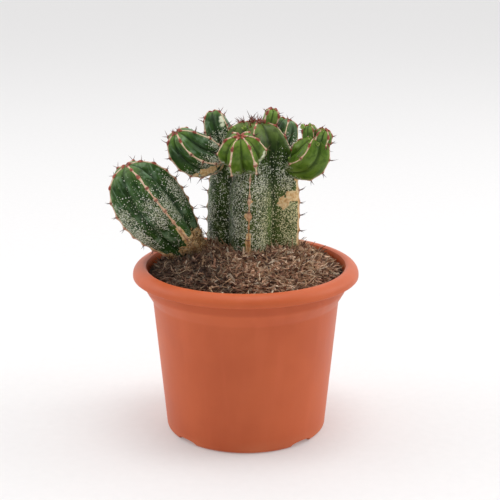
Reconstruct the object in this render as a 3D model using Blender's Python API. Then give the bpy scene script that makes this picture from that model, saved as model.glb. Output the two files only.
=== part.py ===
"""Potted euphorbia: a ribbed, spined succulent with side shoots, in a round plastic nursery pot.

The pot's axis is the Z axis, the pot stands on z = 0, and -Y is the front. Driving sizes are in
millimetres, and the meshes are in metres. Spines and horny rib margins are left to the looks.
"""

from math import cos, pi, radians, sin

import bmesh
import bpy
from mathutils import Vector, noise

MM = 0.001
GAP = 0.35                      # clearance kept between pieces that touch

# Pot: radii are outer ones, heights are above the surface that it stands on.
POT_SEGMENTS = 64
RIM_RADIUS = 60.0
RIM_INNER_RADIUS = 54.3
RIM_TOP = 91.1
RIM_WIDEST_HEIGHT = 86.2
LIP_HEIGHT = 85.0               # lower edge of the rolled rim
LIP_THICKNESS = 1.4
COLLAR_RADIUS = 53.4
COLLAR_TOP = 87.6               # where the collar meets the underside of the roll
COLLAR_HEIGHT = 78.4            # lower edge of the straight collar
WALL_TOP_RADIUS = 49.7
WALL_TOP = 72.0
WALL_FOOT_RADIUS = 43.3
FOOT_CORNER = 2.2               # rounding between the wall and the base
WALL = 1.2                      # wall thickness
FLOOR = 1.4
UNDERCUT_START = 80.0           # where the roll's hollow underside leaves the collar, in degrees
LIP_ROUND = 0.35                # rounding of the roll's lower edge
MOUTH_STEP = (1.2, 0.6)         # in and down from the roll's top to the mouth's shoulder
MOUTH_DROP = (1.9, 2.2)         # in and down from the roll's top to the straight mouth
COLLAR_STEP = 0.6               # how far the inner collar's edge sits above the outer one

# Drainage: radial channels under the base, which show as notches in the foot.
CHANNEL_ANGLES = (-137.0, -47.0, 43.0, 133.0)
CHANNEL_WIDTH = 14.0
CHANNEL_HEIGHT = 2.6
CHANNEL_INNER_END = 22.0
CHANNEL_OUTER_END = 52.0
CHANNEL_SKIN = 1.2              # floor thickness over a channel
CHANNEL_SHOULDER = 0.25         # share of a channel's height that its sides stand upright
CHANNEL_STEPS = 8
DRAIN_RADIUS = 4.0
DRAIN_PLACE = 30.0
DRAIN_SEGMENTS = 16
CUTTER_REACH = 1.0              # how far a cutter runs past the face that it opens

# Growing mix.
SOIL_SEGMENTS = 56
SOIL_RINGS = 13
SOIL_EDGE_HEIGHT = 85.6
SOIL_MOUND = 10.5               # how far it rises from the pot's wall to the trunk
SOIL_LUMPS = 1.3
SOIL_LUMP_SIZE = 9.0
MOUND_CENTRE = (3.0, 6.0)

# Ribs: the flanks fall away from an angular crest into a sharp furrow.
CREST_ANGULARITY = 0.38
FLANK_POWER = 2.3
AREOLE_SPACING = 7.5            # from one spine shield to the next along a crest
AREOLE_BUMP = 0.55

# Plant: base and tip of each shoot's axis, and how far the middle of that axis is bent aside.
# radius is the crest radius at the belly, neck and depth are shares of it, belly is where the
# dome starts along the axis, and crests are rib directions in degrees, 0 to the front, + to +X.
# sizes, where given, are each rib's share of that radius, and valley is how far the furrows and
# crests are rounded into a smooth wave.
SHOOTS = {
    "main_stem": dict(
        base=(4.8, 21.0, 78.0), tip=(6.4, 18.0, 163.4), bend=(0, 0, 0), radius=26.5,
        neck=0.66, shoulder=0.20, belly=0.42, blunt=0.75, depth=0.31,
        crests=(-8.4, 69.0, 138.0, 202.0, 262.0), sizes=(1.0, 0.93, 0.97, 1.0, 1.0),
        valley=0.7, per_rib=6, rings=17, dome_rings=16),
    "left_branch": dict(
        base=(-21.0, 9.0, 88.0), tip=(-62.0, -2.0, 144.0), bend=(-4.5, -0.5, 1.0), radius=19.0,
        neck=0.14, shoulder=0.62, belly=0.62, blunt=0.8, depth=0.26,
        crests=(-62, 22, 90, 158, 228), sizes=(1.0, 1.0, 0.96, 0.92, 0.98),
        per_rib=6, rings=17, dome_rings=11),
    "left_head": dict(
        base=(-12.0, 16.0, 143.5), tip=(-35.8, 1.5, 160.9), bend=(-2.3, -1.5, -3.2), radius=12.3,
        neck=0.35, shoulder=0.50, belly=0.56, blunt=0.8, depth=0.24,
        crests=(-132, -62, 3, 70, 145), sizes=(0.95, 1.0, 1.0, 0.95, 0.87),
        per_rib=6, rings=10, dome_rings=9),
    "front_head": dict(
        base=(-1.0, 2.0, 146.0), tip=(-2.6, -16.0, 161.5), bend=(0, -2.5, -1.4), radius=12.5,
        neck=0.35, shoulder=0.48, belly=0.52, blunt=0.8, depth=0.28,
        crests=(-85, -31, 30, 84, 145, 210), sizes=(0.98, 1.0, 1.0, 0.98, 0.80, 0.80),
        per_rib=5, rings=9, dome_rings=9),
    "upper_left_head": dict(
        base=(-9.0, 22.0, 143.0), tip=(-18.0, 31.0, 166.5), bend=(-1.0, 0, 0), radius=9.0,
        neck=0.62, shoulder=0.35, belly=0.50, blunt=0.8, depth=0.34,
        crests=(-48, 44, 125, 190, 250), sizes=(0.88, 1.0, 1.0, 0.95, 0.88),
        per_rib=5, rings=8, dome_rings=8),
    "right_head": dict(
        base=(22.5, 11.0, 140.5), tip=(36.6, 2.0, 157.7), bend=(3.0, -1.6, -2.8), radius=10.6,
        neck=0.40, shoulder=0.50, belly=0.55, blunt=0.8, depth=0.26,
        crests=(-104, -27, 66, 140, 200), per_rib=6, rings=9, dome_rings=9),
    "back_right_head": dict(
        base=(13.0, 26.0, 141.0), tip=(22.0, 33.0, 162.0), bend=(0.5, 0, 0), radius=9.5,
        neck=0.65, shoulder=0.35, belly=0.50, blunt=0.75, depth=0.26,
        crests=(-70, 5, 80, 150, 220), per_rib=5, rings=7, dome_rings=8),
    "top_pup": dict(
        base=(11.5, 19.0, 158.0), tip=(14.4, 20.0, 169.6), bend=(0, 0, 0), radius=4.9,
        neck=0.55, shoulder=0.60, belly=0.66, blunt=0.6, depth=0.34,
        crests=(-38, 50, 130, 222), per_rib=5, rings=5, dome_rings=5),
    "right_pup_inner": dict(
        base=(34.0, 5.2, 152.4), tip=(33.0, 6.5, 163.4), bend=(0, 0, 0), radius=4.5,
        neck=0.60, shoulder=0.50, belly=0.62, blunt=0.65, depth=0.30,
        crests=(-62, 25, 105, 185, 245), per_rib=4, rings=5, dome_rings=6),
    "right_pup_outer": dict(
        base=(38.0, 3.0, 150.5), tip=(41.0, 1.5, 162.0), bend=(0, 0, 0), radius=4.9,
        neck=0.60, shoulder=0.50, belly=0.60, blunt=0.7, depth=0.32,
        crests=(-48, 30, 95, 165, 240), per_rib=4, rings=5, dome_rings=5),
}

# Which grown shoots each shoot is cut back against, so that it seats on them with a gap.
SEATED_AGAINST = {
    "left_branch": ("main_stem",),
    "left_head": ("main_stem",),
    "front_head": ("main_stem", "left_head"),
    "upper_left_head": ("main_stem", "left_head"),
    "right_head": ("main_stem",),
    "back_right_head": ("main_stem",),
    "top_pup": ("main_stem", "back_right_head"),
    "right_pup_inner": ("right_head", "main_stem"),
    "right_pup_outer": ("right_head", "right_pup_inner"),
}
ROOTED = ("main_stem", "left_branch")
FRONT = Vector((0, -1, 0))


def clear_scene():
    for item in list(bpy.data.objects):
        bpy.data.objects.remove(item, do_unlink=True)


def make_material(name, colour, roughness):
    material = bpy.data.materials.new(name)
    material.use_nodes = True
    shader = material.node_tree.nodes["Principled BSDF"]
    shader.inputs["Base Color"].default_value = (*colour, 1)
    shader.inputs["Roughness"].default_value = roughness
    shader.inputs["Metallic"].default_value = 0.0
    material.diffuse_color = (*colour, 1)
    return material


def make_object(name, mesh_maker, material=None, sharp_angle=40):
    """A closed mesh object, shaded smooth, from a bmesh whose lengths are in millimetres."""
    bmesh.ops.scale(mesh_maker, vec=(MM, MM, MM), verts=mesh_maker.verts)
    bmesh.ops.recalc_face_normals(mesh_maker, faces=mesh_maker.faces)
    mesh = bpy.data.meshes.new(name)
    mesh_maker.to_mesh(mesh)
    mesh_maker.free()
    mesh.shade_smooth()
    mesh.set_sharp_from_angle(angle=radians(sharp_angle))
    item = bpy.data.objects.new(name, mesh)
    bpy.context.collection.objects.link(item)
    if material:
        mesh.materials.append(material)
    return item


def make_cutter(name, mesh_maker):
    cutter = make_object(name, mesh_maker)
    cutter.hide_render = True
    cutter.display_type = "WIRE"
    return cutter


def add_boolean(item, other, operation):
    boolean = item.modifiers.new(f"{operation.title()} {other.name}", "BOOLEAN")
    boolean.operation = operation
    boolean.solver = "EXACT"
    boolean.object = other


def skin_rings(rings, start, end):
    """Closed bmesh through rings of points, with a fan to one point at each end."""
    maker = bmesh.new()
    loops = [[maker.verts.new(point) for point in ring] for ring in rings]
    first, last = maker.verts.new(start), maker.verts.new(end)
    count = len(loops[0])
    for lower, upper in zip(loops, loops[1:]):
        for i in range(count):
            j = (i + 1) % count
            maker.faces.new((lower[i], lower[j], upper[j], upper[i]))
    for i in range(count):
        j = (i + 1) % count
        maker.faces.new((loops[0][j], loops[0][i], first))
        maker.faces.new((loops[-1][i], loops[-1][j], last))
    return maker


def arc(centre, radius, start, end, steps):
    """Points (r, z) along an ellipse's arc, angles in degrees from the outward direction."""
    points = []
    for i in range(steps + 1):
        angle = radians(start + (end - start) * i / steps)
        points.append((centre[0] + radius[0] * cos(angle), centre[1] + radius[1] * sin(angle)))
    return points


def inner_wall():
    """Inside of the pot, (r, z) from the floor's corner up to the rim."""
    corner = (WALL_FOOT_RADIUS - WALL - FOOT_CORNER, FLOOR + FOOT_CORNER)
    return (
        arc(corner, (FOOT_CORNER, FOOT_CORNER), -90, 0, 3)
        + [(WALL_TOP_RADIUS - WALL, WALL_TOP),
           (COLLAR_RADIUS - WALL, COLLAR_HEIGHT + COLLAR_STEP),
           (COLLAR_RADIUS - WALL, RIM_TOP - MOUTH_DROP[1] - WALL)]
    )


def pot_profile():
    """The pot's whole section, (r, z), up the outside, round the rolled rim and down the inside."""
    corner = (WALL_FOOT_RADIUS - FOOT_CORNER, FOOT_CORNER)
    outside = arc(corner, (FOOT_CORNER, FOOT_CORNER), -90, 0, 3)
    outside += [(WALL_TOP_RADIUS, WALL_TOP), (COLLAR_RADIUS, COLLAR_HEIGHT)]
    outside += [(COLLAR_RADIUS, COLLAR_TOP)]
    roll = (RIM_RADIUS - RIM_INNER_RADIUS, RIM_TOP - RIM_WIDEST_HEIGHT)
    roll_centre = (RIM_INNER_RADIUS, RIM_WIDEST_HEIGHT)
    underside = (roll[0] - LIP_THICKNESS, roll[1] - LIP_THICKNESS)
    rim = arc(roll_centre, underside, UNDERCUT_START, 0, 4)
    lip_inner, lip_bottom = RIM_RADIUS - LIP_THICKNESS, LIP_HEIGHT + LIP_ROUND
    rim += [(lip_inner, lip_bottom), (lip_inner + LIP_ROUND, LIP_HEIGHT)]
    rim += [(RIM_RADIUS - LIP_ROUND, LIP_HEIGHT), (RIM_RADIUS, lip_bottom)]
    rim += arc(roll_centre, roll, 0, 90, 7)
    rim += [(RIM_INNER_RADIUS - inward, RIM_TOP - down) for inward, down in (MOUTH_STEP, MOUTH_DROP)]
    return outside + rim + inner_wall()[::-1]


def turn(profile, segments):
    """Rings of points from a section turned round the Z axis."""
    angles = [2 * pi * i / segments for i in range(segments)]
    return [[(r * cos(a), r * sin(a), z) for a in angles] for r, z in profile]


def arched_bar(width, height, floor, inner_end, outer_end, direction):
    """A radial bar with an arched top and a round outer end, in one channel's direction."""
    section = [(-width / 2, floor)]
    for i in range(CHANNEL_STEPS + 1):
        angle = pi - pi * i / CHANNEL_STEPS
        lift = CHANNEL_SHOULDER + (1 - CHANNEL_SHOULDER) * max(sin(angle), 0) ** 0.5
        section.append((width / 2 * cos(angle), floor + (height - floor) * lift))
    section.append((width / 2, floor))
    along = Vector((cos(radians(direction)), sin(radians(direction)), 0))
    across = Vector((-along.y, along.x, 0))
    up = Vector((0, 0, 1))
    near = [along * inner_end + across * x + up * z for x, z in section]
    far = [along * (outer_end ** 2 - x ** 2) ** 0.5 + across * x + up * z for x, z in section]
    maker = bmesh.new()
    loops = [[maker.verts.new(point) for point in end] for end in (near, far)]
    count = len(section)
    for i in range(count):
        j = (i + 1) % count
        maker.faces.new((loops[0][i], loops[0][j], loops[1][j], loops[1][i]))
    maker.faces.new(loops[0])
    maker.faces.new(loops[1])
    return maker


def ridge_bar(direction, grow=0.0):
    """The raised stretch of floor over one channel."""
    return arched_bar(
        CHANNEL_WIDTH + 2 * (CHANNEL_SKIN + grow), CHANNEL_HEIGHT + CHANNEL_SKIN + grow,
        FLOOR / 2, CHANNEL_INNER_END - CHANNEL_SKIN - grow,
        WALL_FOOT_RADIUS - WALL / 2 + 4 * grow, direction)


def drain_bore(direction):
    centre = (DRAIN_PLACE * cos(radians(direction)), DRAIN_PLACE * sin(radians(direction)))
    top = CHANNEL_HEIGHT + CHANNEL_SKIN + CUTTER_REACH
    section = [(DRAIN_RADIUS, FLOOR / 2), (DRAIN_RADIUS, top)]
    rings = [[(x + centre[0], y + centre[1], z) for x, y, z in ring]
             for ring in turn(section, DRAIN_SEGMENTS)]
    return skin_rings(rings, (*centre, section[0][1]), (*centre, section[1][1]))


def build_pot(material):
    rings = turn(pot_profile(), POT_SEGMENTS)
    pot = make_object("pot", skin_rings(rings, (0, 0, 0), (0, 0, FLOOR)), material, 35)
    for i, direction in enumerate(CHANNEL_ANGLES):
        add_boolean(pot, make_cutter(f"ridge_{i}", ridge_bar(direction)), "UNION")
        channel = arched_bar(CHANNEL_WIDTH, CHANNEL_HEIGHT, -CUTTER_REACH, CHANNEL_INNER_END,
                             CHANNEL_OUTER_END, direction)
        add_boolean(pot, make_cutter(f"channel_{i}", channel), "DIFFERENCE")
        add_boolean(pot, make_cutter(f"drain_{i}", drain_bore(direction)), "DIFFERENCE")
    return pot


def soil_height(x, y):
    """Height of the growing mix: low at the pot's wall, mounded up round the trunk, lumpy."""
    edge = min(Vector((x, y)).length / (COLLAR_RADIUS - WALL), 1.0)
    off_mound = (Vector((x, y)) - Vector(MOUND_CENTRE)).length / COLLAR_RADIUS
    mound = max(0.0, 1 - off_mound ** 2) * (1 - edge ** 6)
    lumps = noise.noise(Vector((x, y, 0)) / SOIL_LUMP_SIZE) * (1 - 0.6 * edge ** 4)
    return SOIL_EDGE_HEIGHT + SOIL_MOUND * mound + SOIL_LUMPS * lumps


def build_soil(material, rooted):
    wall = [(r - GAP, z) for r, z in inner_wall() if z < SOIL_EDGE_HEIGHT - 1]
    rings = turn([(wall[0][0], FLOOR + GAP)] + wall[1:], SOIL_SEGMENTS)
    edge = COLLAR_RADIUS - WALL - GAP
    for i in range(SOIL_RINGS):
        radius = edge * (1 - i / SOIL_RINGS)
        ring = turn([(radius, 0)], SOIL_SEGMENTS)[0]
        rings.append([(x, y, soil_height(x, y)) for x, y, _ in ring])
    maker = skin_rings(rings, (0, 0, FLOOR + GAP), (0, 0, soil_height(0, 0)))
    soil = make_object("soil", maker, material, 60)
    for i, direction in enumerate(CHANNEL_ANGLES):
        add_boolean(soil, make_cutter(f"ridge_bed_{i}", ridge_bar(direction, GAP)), "DIFFERENCE")
    for shoot in rooted:
        add_boolean(soil, grown_cutter(shoot, "socket"), "DIFFERENCE")
    return soil


def axis_point(shoot, t):
    """Point and direction of a shoot's bent axis, t from 0 at its base to 1 at its tip."""
    base, tip = Vector(shoot["base"]), Vector(shoot["tip"])
    middle = (base + tip) / 2 + 2 * Vector(shoot["bend"])
    point = base * (1 - t) ** 2 + middle * (2 * t * (1 - t)) + tip * t ** 2
    heading = (middle - base) * (1 - t) + (tip - middle) * t
    return point, heading.normalized()


def stations(shoot):
    """(t, share of the belly's radius) from the base, through neck and belly, over the dome."""
    belly, shoulder, neck = shoot["belly"], shoot["shoulder"], shoot["neck"]
    places = []
    for i in range(shoot["rings"]):
        t = belly * i / shoot["rings"]
        rise = min(t / shoulder, 1.0)
        places.append((t, neck + (1 - neck) * sin(rise * pi / 2)))
    for i in range(shoot["dome_rings"]):
        angle = pi / 2 * i / shoot["dome_rings"]
        places.append((belly + (1 - belly) * sin(angle), cos(angle) ** shoot["blunt"]))
    return places


def ring_round(shoot, t, share, travelled):
    """One ring of points, with its ribs, furrows and the bumps that carry the spines."""
    centre, heading = axis_point(shoot, t)
    ahead = (FRONT - heading * FRONT.dot(heading)).normalized()
    aside = heading.cross(ahead)
    crests = shoot["crests"]
    sizes = shoot.get("sizes", (1.0,) * len(crests))
    radius = shoot["radius"] * share
    bump = AREOLE_BUMP * min(1, radius / 6) * cos(2 * pi * travelled / AREOLE_SPACING)
    ring = []
    for k, here in enumerate(crests):
        after = crests[k + 1] if k + 1 < len(crests) else crests[0] + 360
        grown = sizes[(k + 1) % len(crests)] - sizes[k]
        for i in range(shoot["per_rib"]):
            along = i / shoot["per_rib"]
            off_crest = 1 - abs(2 * along - 1)
            fall = CREST_ANGULARITY * off_crest
            fall += (1 - CREST_ANGULARITY) * off_crest ** FLANK_POWER
            fall += shoot.get("valley", 0.0) * ((1 - cos(pi * off_crest)) / 2 - fall)
            girth = radius * (sizes[k] + grown * along)
            reach = girth * (1 - shoot["depth"] * fall) + bump * (1 - off_crest) ** 3
            angle = radians(here + (after - here) * along)
            ring.append(centre + (ahead * cos(angle) + aside * sin(angle)) * reach)
    return ring


def shoot_mesh(shoot):
    places = stations(shoot)
    rings, travelled, last = [], 0.0, None
    for t, share in places:
        centre, heading = axis_point(shoot, t)
        here = Vector((shoot["radius"] * share, centre.dot(heading)))
        travelled += (here - last).length if last else 0.0
        last = here
        rings.append(ring_round(shoot, t, share, travelled))
    start, _ = axis_point(shoot, 0)
    tip, _ = axis_point(shoot, 1)
    return skin_rings(rings, start, tip)


def grown_cutter(item, purpose):
    """A copy of a shoot swollen by the gap, to cut its neighbour with."""
    maker = bmesh.new()
    maker.from_mesh(item.data)
    maker.normal_update()
    shifts = [vertex.normal * GAP * MM for vertex in maker.verts]
    for vertex, shift in zip(maker.verts, shifts):
        vertex.co += shift
    bmesh.ops.scale(maker, vec=(1 / MM, 1 / MM, 1 / MM), verts=maker.verts)
    return make_cutter(f"{purpose}_{item.name}", maker)


def build_shoots(materials):
    shoots = {}
    for name, shoot in SHOOTS.items():
        shoots[name] = make_object(name, shoot_mesh(shoot), materials[name], 50)
    cutters = {}
    for name, neighbours in SEATED_AGAINST.items():
        for neighbour in neighbours:
            if neighbour not in cutters:
                cutters[neighbour] = grown_cutter(shoots[neighbour], "seat")
            add_boolean(shoots[name], cutters[neighbour], "DIFFERENCE")
    return shoots


def main():
    clear_scene()
    terracotta = make_material("terracotta_plastic", (0.52, 0.13, 0.05), 0.45)
    bark = make_material("bark_mix", (0.10, 0.055, 0.035), 0.95)
    old_skin = make_material("old_green_skin", (0.045, 0.11, 0.035), 0.5)
    dark_skin = make_material("dark_green_skin", (0.03, 0.12, 0.05), 0.45)
    bright_skin = make_material("bright_green_skin", (0.08, 0.19, 0.03), 0.45)
    pup_skin = make_material("pup_green_skin", (0.18, 0.36, 0.06), 0.45)
    materials = {name: dark_skin for name in SHOOTS}
    materials["main_stem"] = old_skin
    for name in ("front_head", "right_head"):
        materials[name] = bright_skin
    for name in ("top_pup", "right_pup_inner", "right_pup_outer"):
        materials[name] = pup_skin
    build_pot(terracotta)
    shoots = build_shoots(materials)
    build_soil(bark, [shoots[name] for name in ROOTED])


main()
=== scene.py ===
"""Looks of a potted euphorbia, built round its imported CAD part.

Lengths are in millimetres and meshes are in metres. The pot's axis is the Z axis, the pot stands
on z = 0, and -Y is the front. Each shoot is grown again along its CAD axis with a fine skin, and
gets horny margins along its ribs and pairs of spines on their shields. The pot is turned again
with more segments. The growing mix keeps its CAD solid, under a layer of loose litter.
"""

from math import ceil, cos, pi, radians, sin
from types import SimpleNamespace

import bmesh
import bpy
import numpy as np
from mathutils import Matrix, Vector, noise
from mathutils.bvhtree import BVHTree


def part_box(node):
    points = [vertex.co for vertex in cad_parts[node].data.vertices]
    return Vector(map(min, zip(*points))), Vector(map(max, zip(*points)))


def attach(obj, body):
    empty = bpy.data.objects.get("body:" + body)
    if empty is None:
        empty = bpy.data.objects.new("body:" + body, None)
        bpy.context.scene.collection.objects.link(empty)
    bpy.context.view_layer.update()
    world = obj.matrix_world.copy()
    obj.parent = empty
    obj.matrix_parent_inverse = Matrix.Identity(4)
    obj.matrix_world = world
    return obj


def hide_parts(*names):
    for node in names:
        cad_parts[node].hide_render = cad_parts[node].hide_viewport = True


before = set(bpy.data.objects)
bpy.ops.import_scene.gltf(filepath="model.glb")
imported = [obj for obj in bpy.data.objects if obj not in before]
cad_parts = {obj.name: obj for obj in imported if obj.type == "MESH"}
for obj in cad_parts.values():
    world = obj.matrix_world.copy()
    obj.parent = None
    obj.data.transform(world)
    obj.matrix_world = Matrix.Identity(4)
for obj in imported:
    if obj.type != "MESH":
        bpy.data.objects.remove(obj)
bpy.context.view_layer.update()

MM = 0.001
FRONT = np.array((0.0, -1.0, 0.0))
UP = np.array((0.0, 0.0, 1.0))
SLANT = np.array((0.3, 0.2, 1.0))      # a direction that no shoot's skin faces squarely

# Pot: radii are outer ones, heights are above the surface that it stands on.
POT_SEGMENTS = 216
RIM_INNER_RADIUS = 54.3
RIM_WIDEST_BELOW_TOP = 4.9
LIP_BELOW_TOP = 6.1
LIP_THICKNESS = 1.4
LIP_ROUND = 0.35
MOUTH_STEP = (1.2, 0.6)         # in and down from the roll's top to the mouth's shoulder
MOUTH_DROP = (1.9, 2.2)         # in and down from the roll's top to the straight mouth
UNDERCUT_START = 80             # where the roll's hollow underside leaves the collar, in degrees
COLLAR_STEP = 0.6               # how far the inner collar's edge sits above the outer one
COLLAR_RADIUS = 53.4
COLLAR_TOP = 87.6
COLLAR_HEIGHT = 78.4
WALL_TOP_RADIUS = 49.7
WALL_TOP = 72.0
WALL_FOOT_RADIUS = 43.3
FOOT_CORNER = 2.2
WALL = 1.2
FLOOR = 1.4
CHANNEL_ANGLES = (-137.0, -47.0, 43.0, 133.0)
CHANNEL_WIDTH = 14.0
CHANNEL_HEIGHT = 2.6
CHANNEL_INNER_END = 22.0
CHANNEL_OUTER_END = 52.0
CHANNEL_SKIN = 1.2
CHANNEL_SHOULDER = 0.25
DRAIN_RADIUS = 4.0
DRAIN_PLACE = 30.0
DRAIN_SEGMENTS = 24
SHARP_EDGE = 32                 # edges that turn more than this many degrees stay sharp

# Ribs. The first two are the CAD's own.
CREST_ANGULARITY = 0.38
FLANK_POWER = 2.3
RING_STEP = 0.75                # about how far apart the rings of a shoot's skin are
DOME_RADIUS = 6.0               # a smaller dome has as many rings as one of this radius
DOME_RINGS = 12                 # rings that every dome has on top of those
COLUMN_EASE = 1.5               # power that gathers the columns at the crests
SWELLS = ((0.34, 12, 1), (0.12, 3.5, 2))    # height, size and seed of the flanks' unevenness
CREASE = (0.30, 0.06)           # depth of a furrow's crease, and its width as a share of the flank
FURROW_SHADE = 0.45             # how dark the painted shade in the furrows is against the deep green
CRENATION = 0.55                # how far the crests rise at their eyes
CRENATION_REACH = 1.5           # how far along the crest from the eye
CRENATION_POWER = 6             # and how quickly the rise fades off the crest
DIMPLE = 1.1                    # how far the crests arch over the sunken tip

# Eyes along a crest: the first one's distance from the tip and how much that varies, the least and
# greatest share of the gap, and how much of the spacing each gap gains on the last one.
FIRST_EYE = (1.3, 0.8)
EYE_VARIETY = (0.82, 1.18)
EYE_GAIN = 0.25

# Shoots. t runs from 0 at the base of the axis to 1 at its tip, and directions are in degrees round
# the axis, from the front.
# The CAD's own: base, tip and bend of the axis, crest radius at the belly, neck (the base's share
# of it), shoulder (the t where it is nearly reached), belly (the t where the dome starts), blunt
# (how flat the dome is), depth of the furrows, directions of the crests, their sizes as shares of
# the radius, and valley (how far ribs and furrows are rounded into a smooth wave).
# Skin: slot, flank_steps (columns on half a rib), dimple (how far the crests arch), cork and young (the
# t under which it is corky and over which it is young).
# Crests: spacing of the eyes and crowd (the first gap as a share of it), length of a spine, lost
# and bald (shares of spines missing lower down and at the tip), horn (thickness of the margins),
# aged (how worn the margins are low down).
# Grains: grains (the t under which they are dense and over which there are none), furrow (the
# share of each flank, counted from its crest, that they reach), frost and least (how dense they
# are in the patches and between them), bare (the t under which they fade) and specks (how many
# stray ones there are).
# USUAL is what holds where a shoot says nothing else.
USUAL = dict(
    bend=(0, 0, 0), blunt=0.8, valley=0.0, dimple=DIMPLE, cork=0.0, crowd=0.78, lost=0.10,
    bald=0.40, aged=0.0, grains=(-1, 0), furrow=(0.5,) * 5, frost=0.80, least=0.0, bare=-1,
    specks=0.12)
SHOOTS = {
    "main_stem": dict(
        base=(4.8, 21.0, 78.0), tip=(6.4, 18.0, 163.4), radius=26.5,
        neck=0.66, shoulder=0.20, belly=0.42, blunt=0.75, depth=0.31,
        crests=(-8.4, 69.0, 138.0, 202.0, 262.0), sizes=(1.0, 0.93, 0.97, 1.0, 1.0), valley=0.7,
        slot="old_skin", flank_steps=15, cork=0.10, young=0.86,
        spacing=7.8, crowd=0.36, spine=4.6, lost=0.30, bald=0.0, aged=1.0,
        grains=(0.66, 0.86), furrow=(0.66, 0.80, 0.80, 0.80, 0.46),
        frost=0.86, least=0.46, specks=0.26),
    "left_branch": dict(
        base=(-21.0, 9.0, 88.0), tip=(-62.0, -2.0, 144.0), bend=(-4.5, -0.5, 1.0), radius=19.0,
        neck=0.14, shoulder=0.62, belly=0.62, depth=0.26, dimple=0.0,
        crests=(-62, 22, 90, 158, 228), sizes=(1.0, 1.0, 0.96, 0.92, 0.98),
        slot="dark_skin", flank_steps=14, cork=0.13, young=0.90,
        spacing=7.2, spine=3.4, lost=0.40, horn=1.4, aged=0.6,
        grains=(0.74, 0.92), furrow=(0.60, 0.66, 0.7, 0.7, 0.7), frost=0.86, least=0.16, bare=0.20),
    "left_head": dict(
        base=(-12.0, 16.0, 143.5), tip=(-35.8, 1.5, 160.9), bend=(-2.3, -1.5, -3.2), radius=12.3,
        neck=0.35, shoulder=0.50, belly=0.56, depth=0.24, dimple=0.3,
        crests=(-132, -62, 3, 70, 145), sizes=(0.95, 1.0, 1.0, 0.95, 0.87),
        slot="dark_skin", flank_steps=12, spacing=8.2, spine=3.8, horn=1.15,
        grains=(0.34, 0.70), furrow=(0.6,) * 5, cork=0.10, young=0.84),
    "front_head": dict(
        base=(-1.0, 2.0, 146.0), tip=(-2.6, -16.0, 161.5), bend=(0, -2.5, -1.4), radius=12.5,
        neck=0.35, shoulder=0.48, belly=0.52, depth=0.28,
        crests=(-85, -31, 30, 84, 145, 210), sizes=(0.98, 1.0, 1.0, 0.98, 0.80, 0.80),
        slot="bright_skin", flank_steps=11, spacing=8.4, spine=3.0, horn=1.05,
        grains=(0.34, 0.60), furrow=(0.9, 0.55, 0.35, 0.6, 0.6, 0.6), young=0.84),
    "upper_left_head": dict(
        base=(-9.0, 22.0, 143.0), tip=(-18.0, 31.0, 166.5), bend=(-1.0, 0, 0), radius=9.0,
        neck=0.62, shoulder=0.35, belly=0.50, depth=0.34,
        crests=(-48, 44, 125, 190, 250), sizes=(0.88, 1.0, 1.0, 0.95, 0.88),
        slot="dark_skin", flank_steps=11, spacing=7.4, spine=3.4,
        grains=(0.36, 0.62), furrow=(0.8, 0.7, 0.6, 0.6, 0.6), young=0.84),
    "right_head": dict(
        base=(22.5, 11.0, 140.5), tip=(36.6, 2.0, 157.7), bend=(3.0, -1.6, -2.8), radius=10.6,
        neck=0.40, shoulder=0.50, belly=0.55, depth=0.26,
        crests=(-104, -27, 66, 140, 200),
        slot="bright_skin", flank_steps=12, spacing=8.4, spine=3.6,
        grains=(0.05, 0.30), young=0.86),
    "back_right_head": dict(
        base=(13.0, 26.0, 141.0), tip=(22.0, 33.0, 162.0), bend=(0.5, 0, 0), radius=9.5,
        neck=0.65, shoulder=0.35, belly=0.50, blunt=0.75, depth=0.26,
        crests=(-70, 5, 80, 150, 220),
        slot="dark_skin", flank_steps=10, spacing=7.2, spine=3.8,
        grains=(0.35, 0.80), furrow=(0.7,) * 5, young=0.86),
    "top_pup": dict(
        base=(11.5, 19.0, 158.0), tip=(14.4, 20.0, 169.6), radius=4.9,
        neck=0.55, shoulder=0.60, belly=0.66, blunt=0.6, depth=0.34,
        crests=(-38, 50, 130, 222),
        slot="pup_skin", flank_steps=9, spacing=4.6, spine=3.0, horn=1.15, young=-0.6),
    "right_pup_inner": dict(
        base=(34.0, 5.2, 152.4), tip=(33.0, 6.5, 163.4), radius=4.5,
        neck=0.60, shoulder=0.50, belly=0.62, blunt=0.65, depth=0.30,
        crests=(-62, 25, 105, 185, 245),
        slot="pup_skin", flank_steps=9, spacing=4.4, spine=2.2, horn=0.55, young=0.4),
    "right_pup_outer": dict(
        base=(38.0, 3.0, 150.5), tip=(41.0, 1.5, 162.0), radius=4.9,
        neck=0.60, shoulder=0.50, belly=0.60, blunt=0.7, depth=0.32,
        crests=(-48, 30, 95, 165, 240),
        slot="pup_skin", flank_steps=9, spacing=4.6, spine=3.2, horn=0.85, young=0.4),
}

# Corky scars on a shoot: its t, its direction round the axis, and its radius.
SCARS = {
    "main_stem": ((0.525, 46, 3.0), (0.57, 54, 2.6), (0.55, 64, 2.6), (0.60, 70, 2.2),
                  (0.69, 66, 2.4), (0.565, -8, 1.5), (0.475, -9, 2.0), (0.15, 40, 3.6),
                  (0.20, 10, 2.4)),
    "left_branch": ((0.17, 30, 8.0), (0.10, 0, 6.5), (0.15, 62, 7.5), (0.22, -66, 4.5), (0.30, -68, 3.0)),
    "left_head": ((0.32, -41, 3.0), (0.24, -20, 4.0), (0.42, -56, 2.2)),
}

# Pale calluses on a shoot: t, direction and radius.
CALLUSES = {
    "upper_left_head": ((0.64, 30, 1.3), (0.72, 33, 1.4), (0.79, 36, 1.1)),
    "front_head": ((0.60, 76, 1.1), (0.52, 70, 1.4), (0.44, 62, 1.3)),
}

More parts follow.
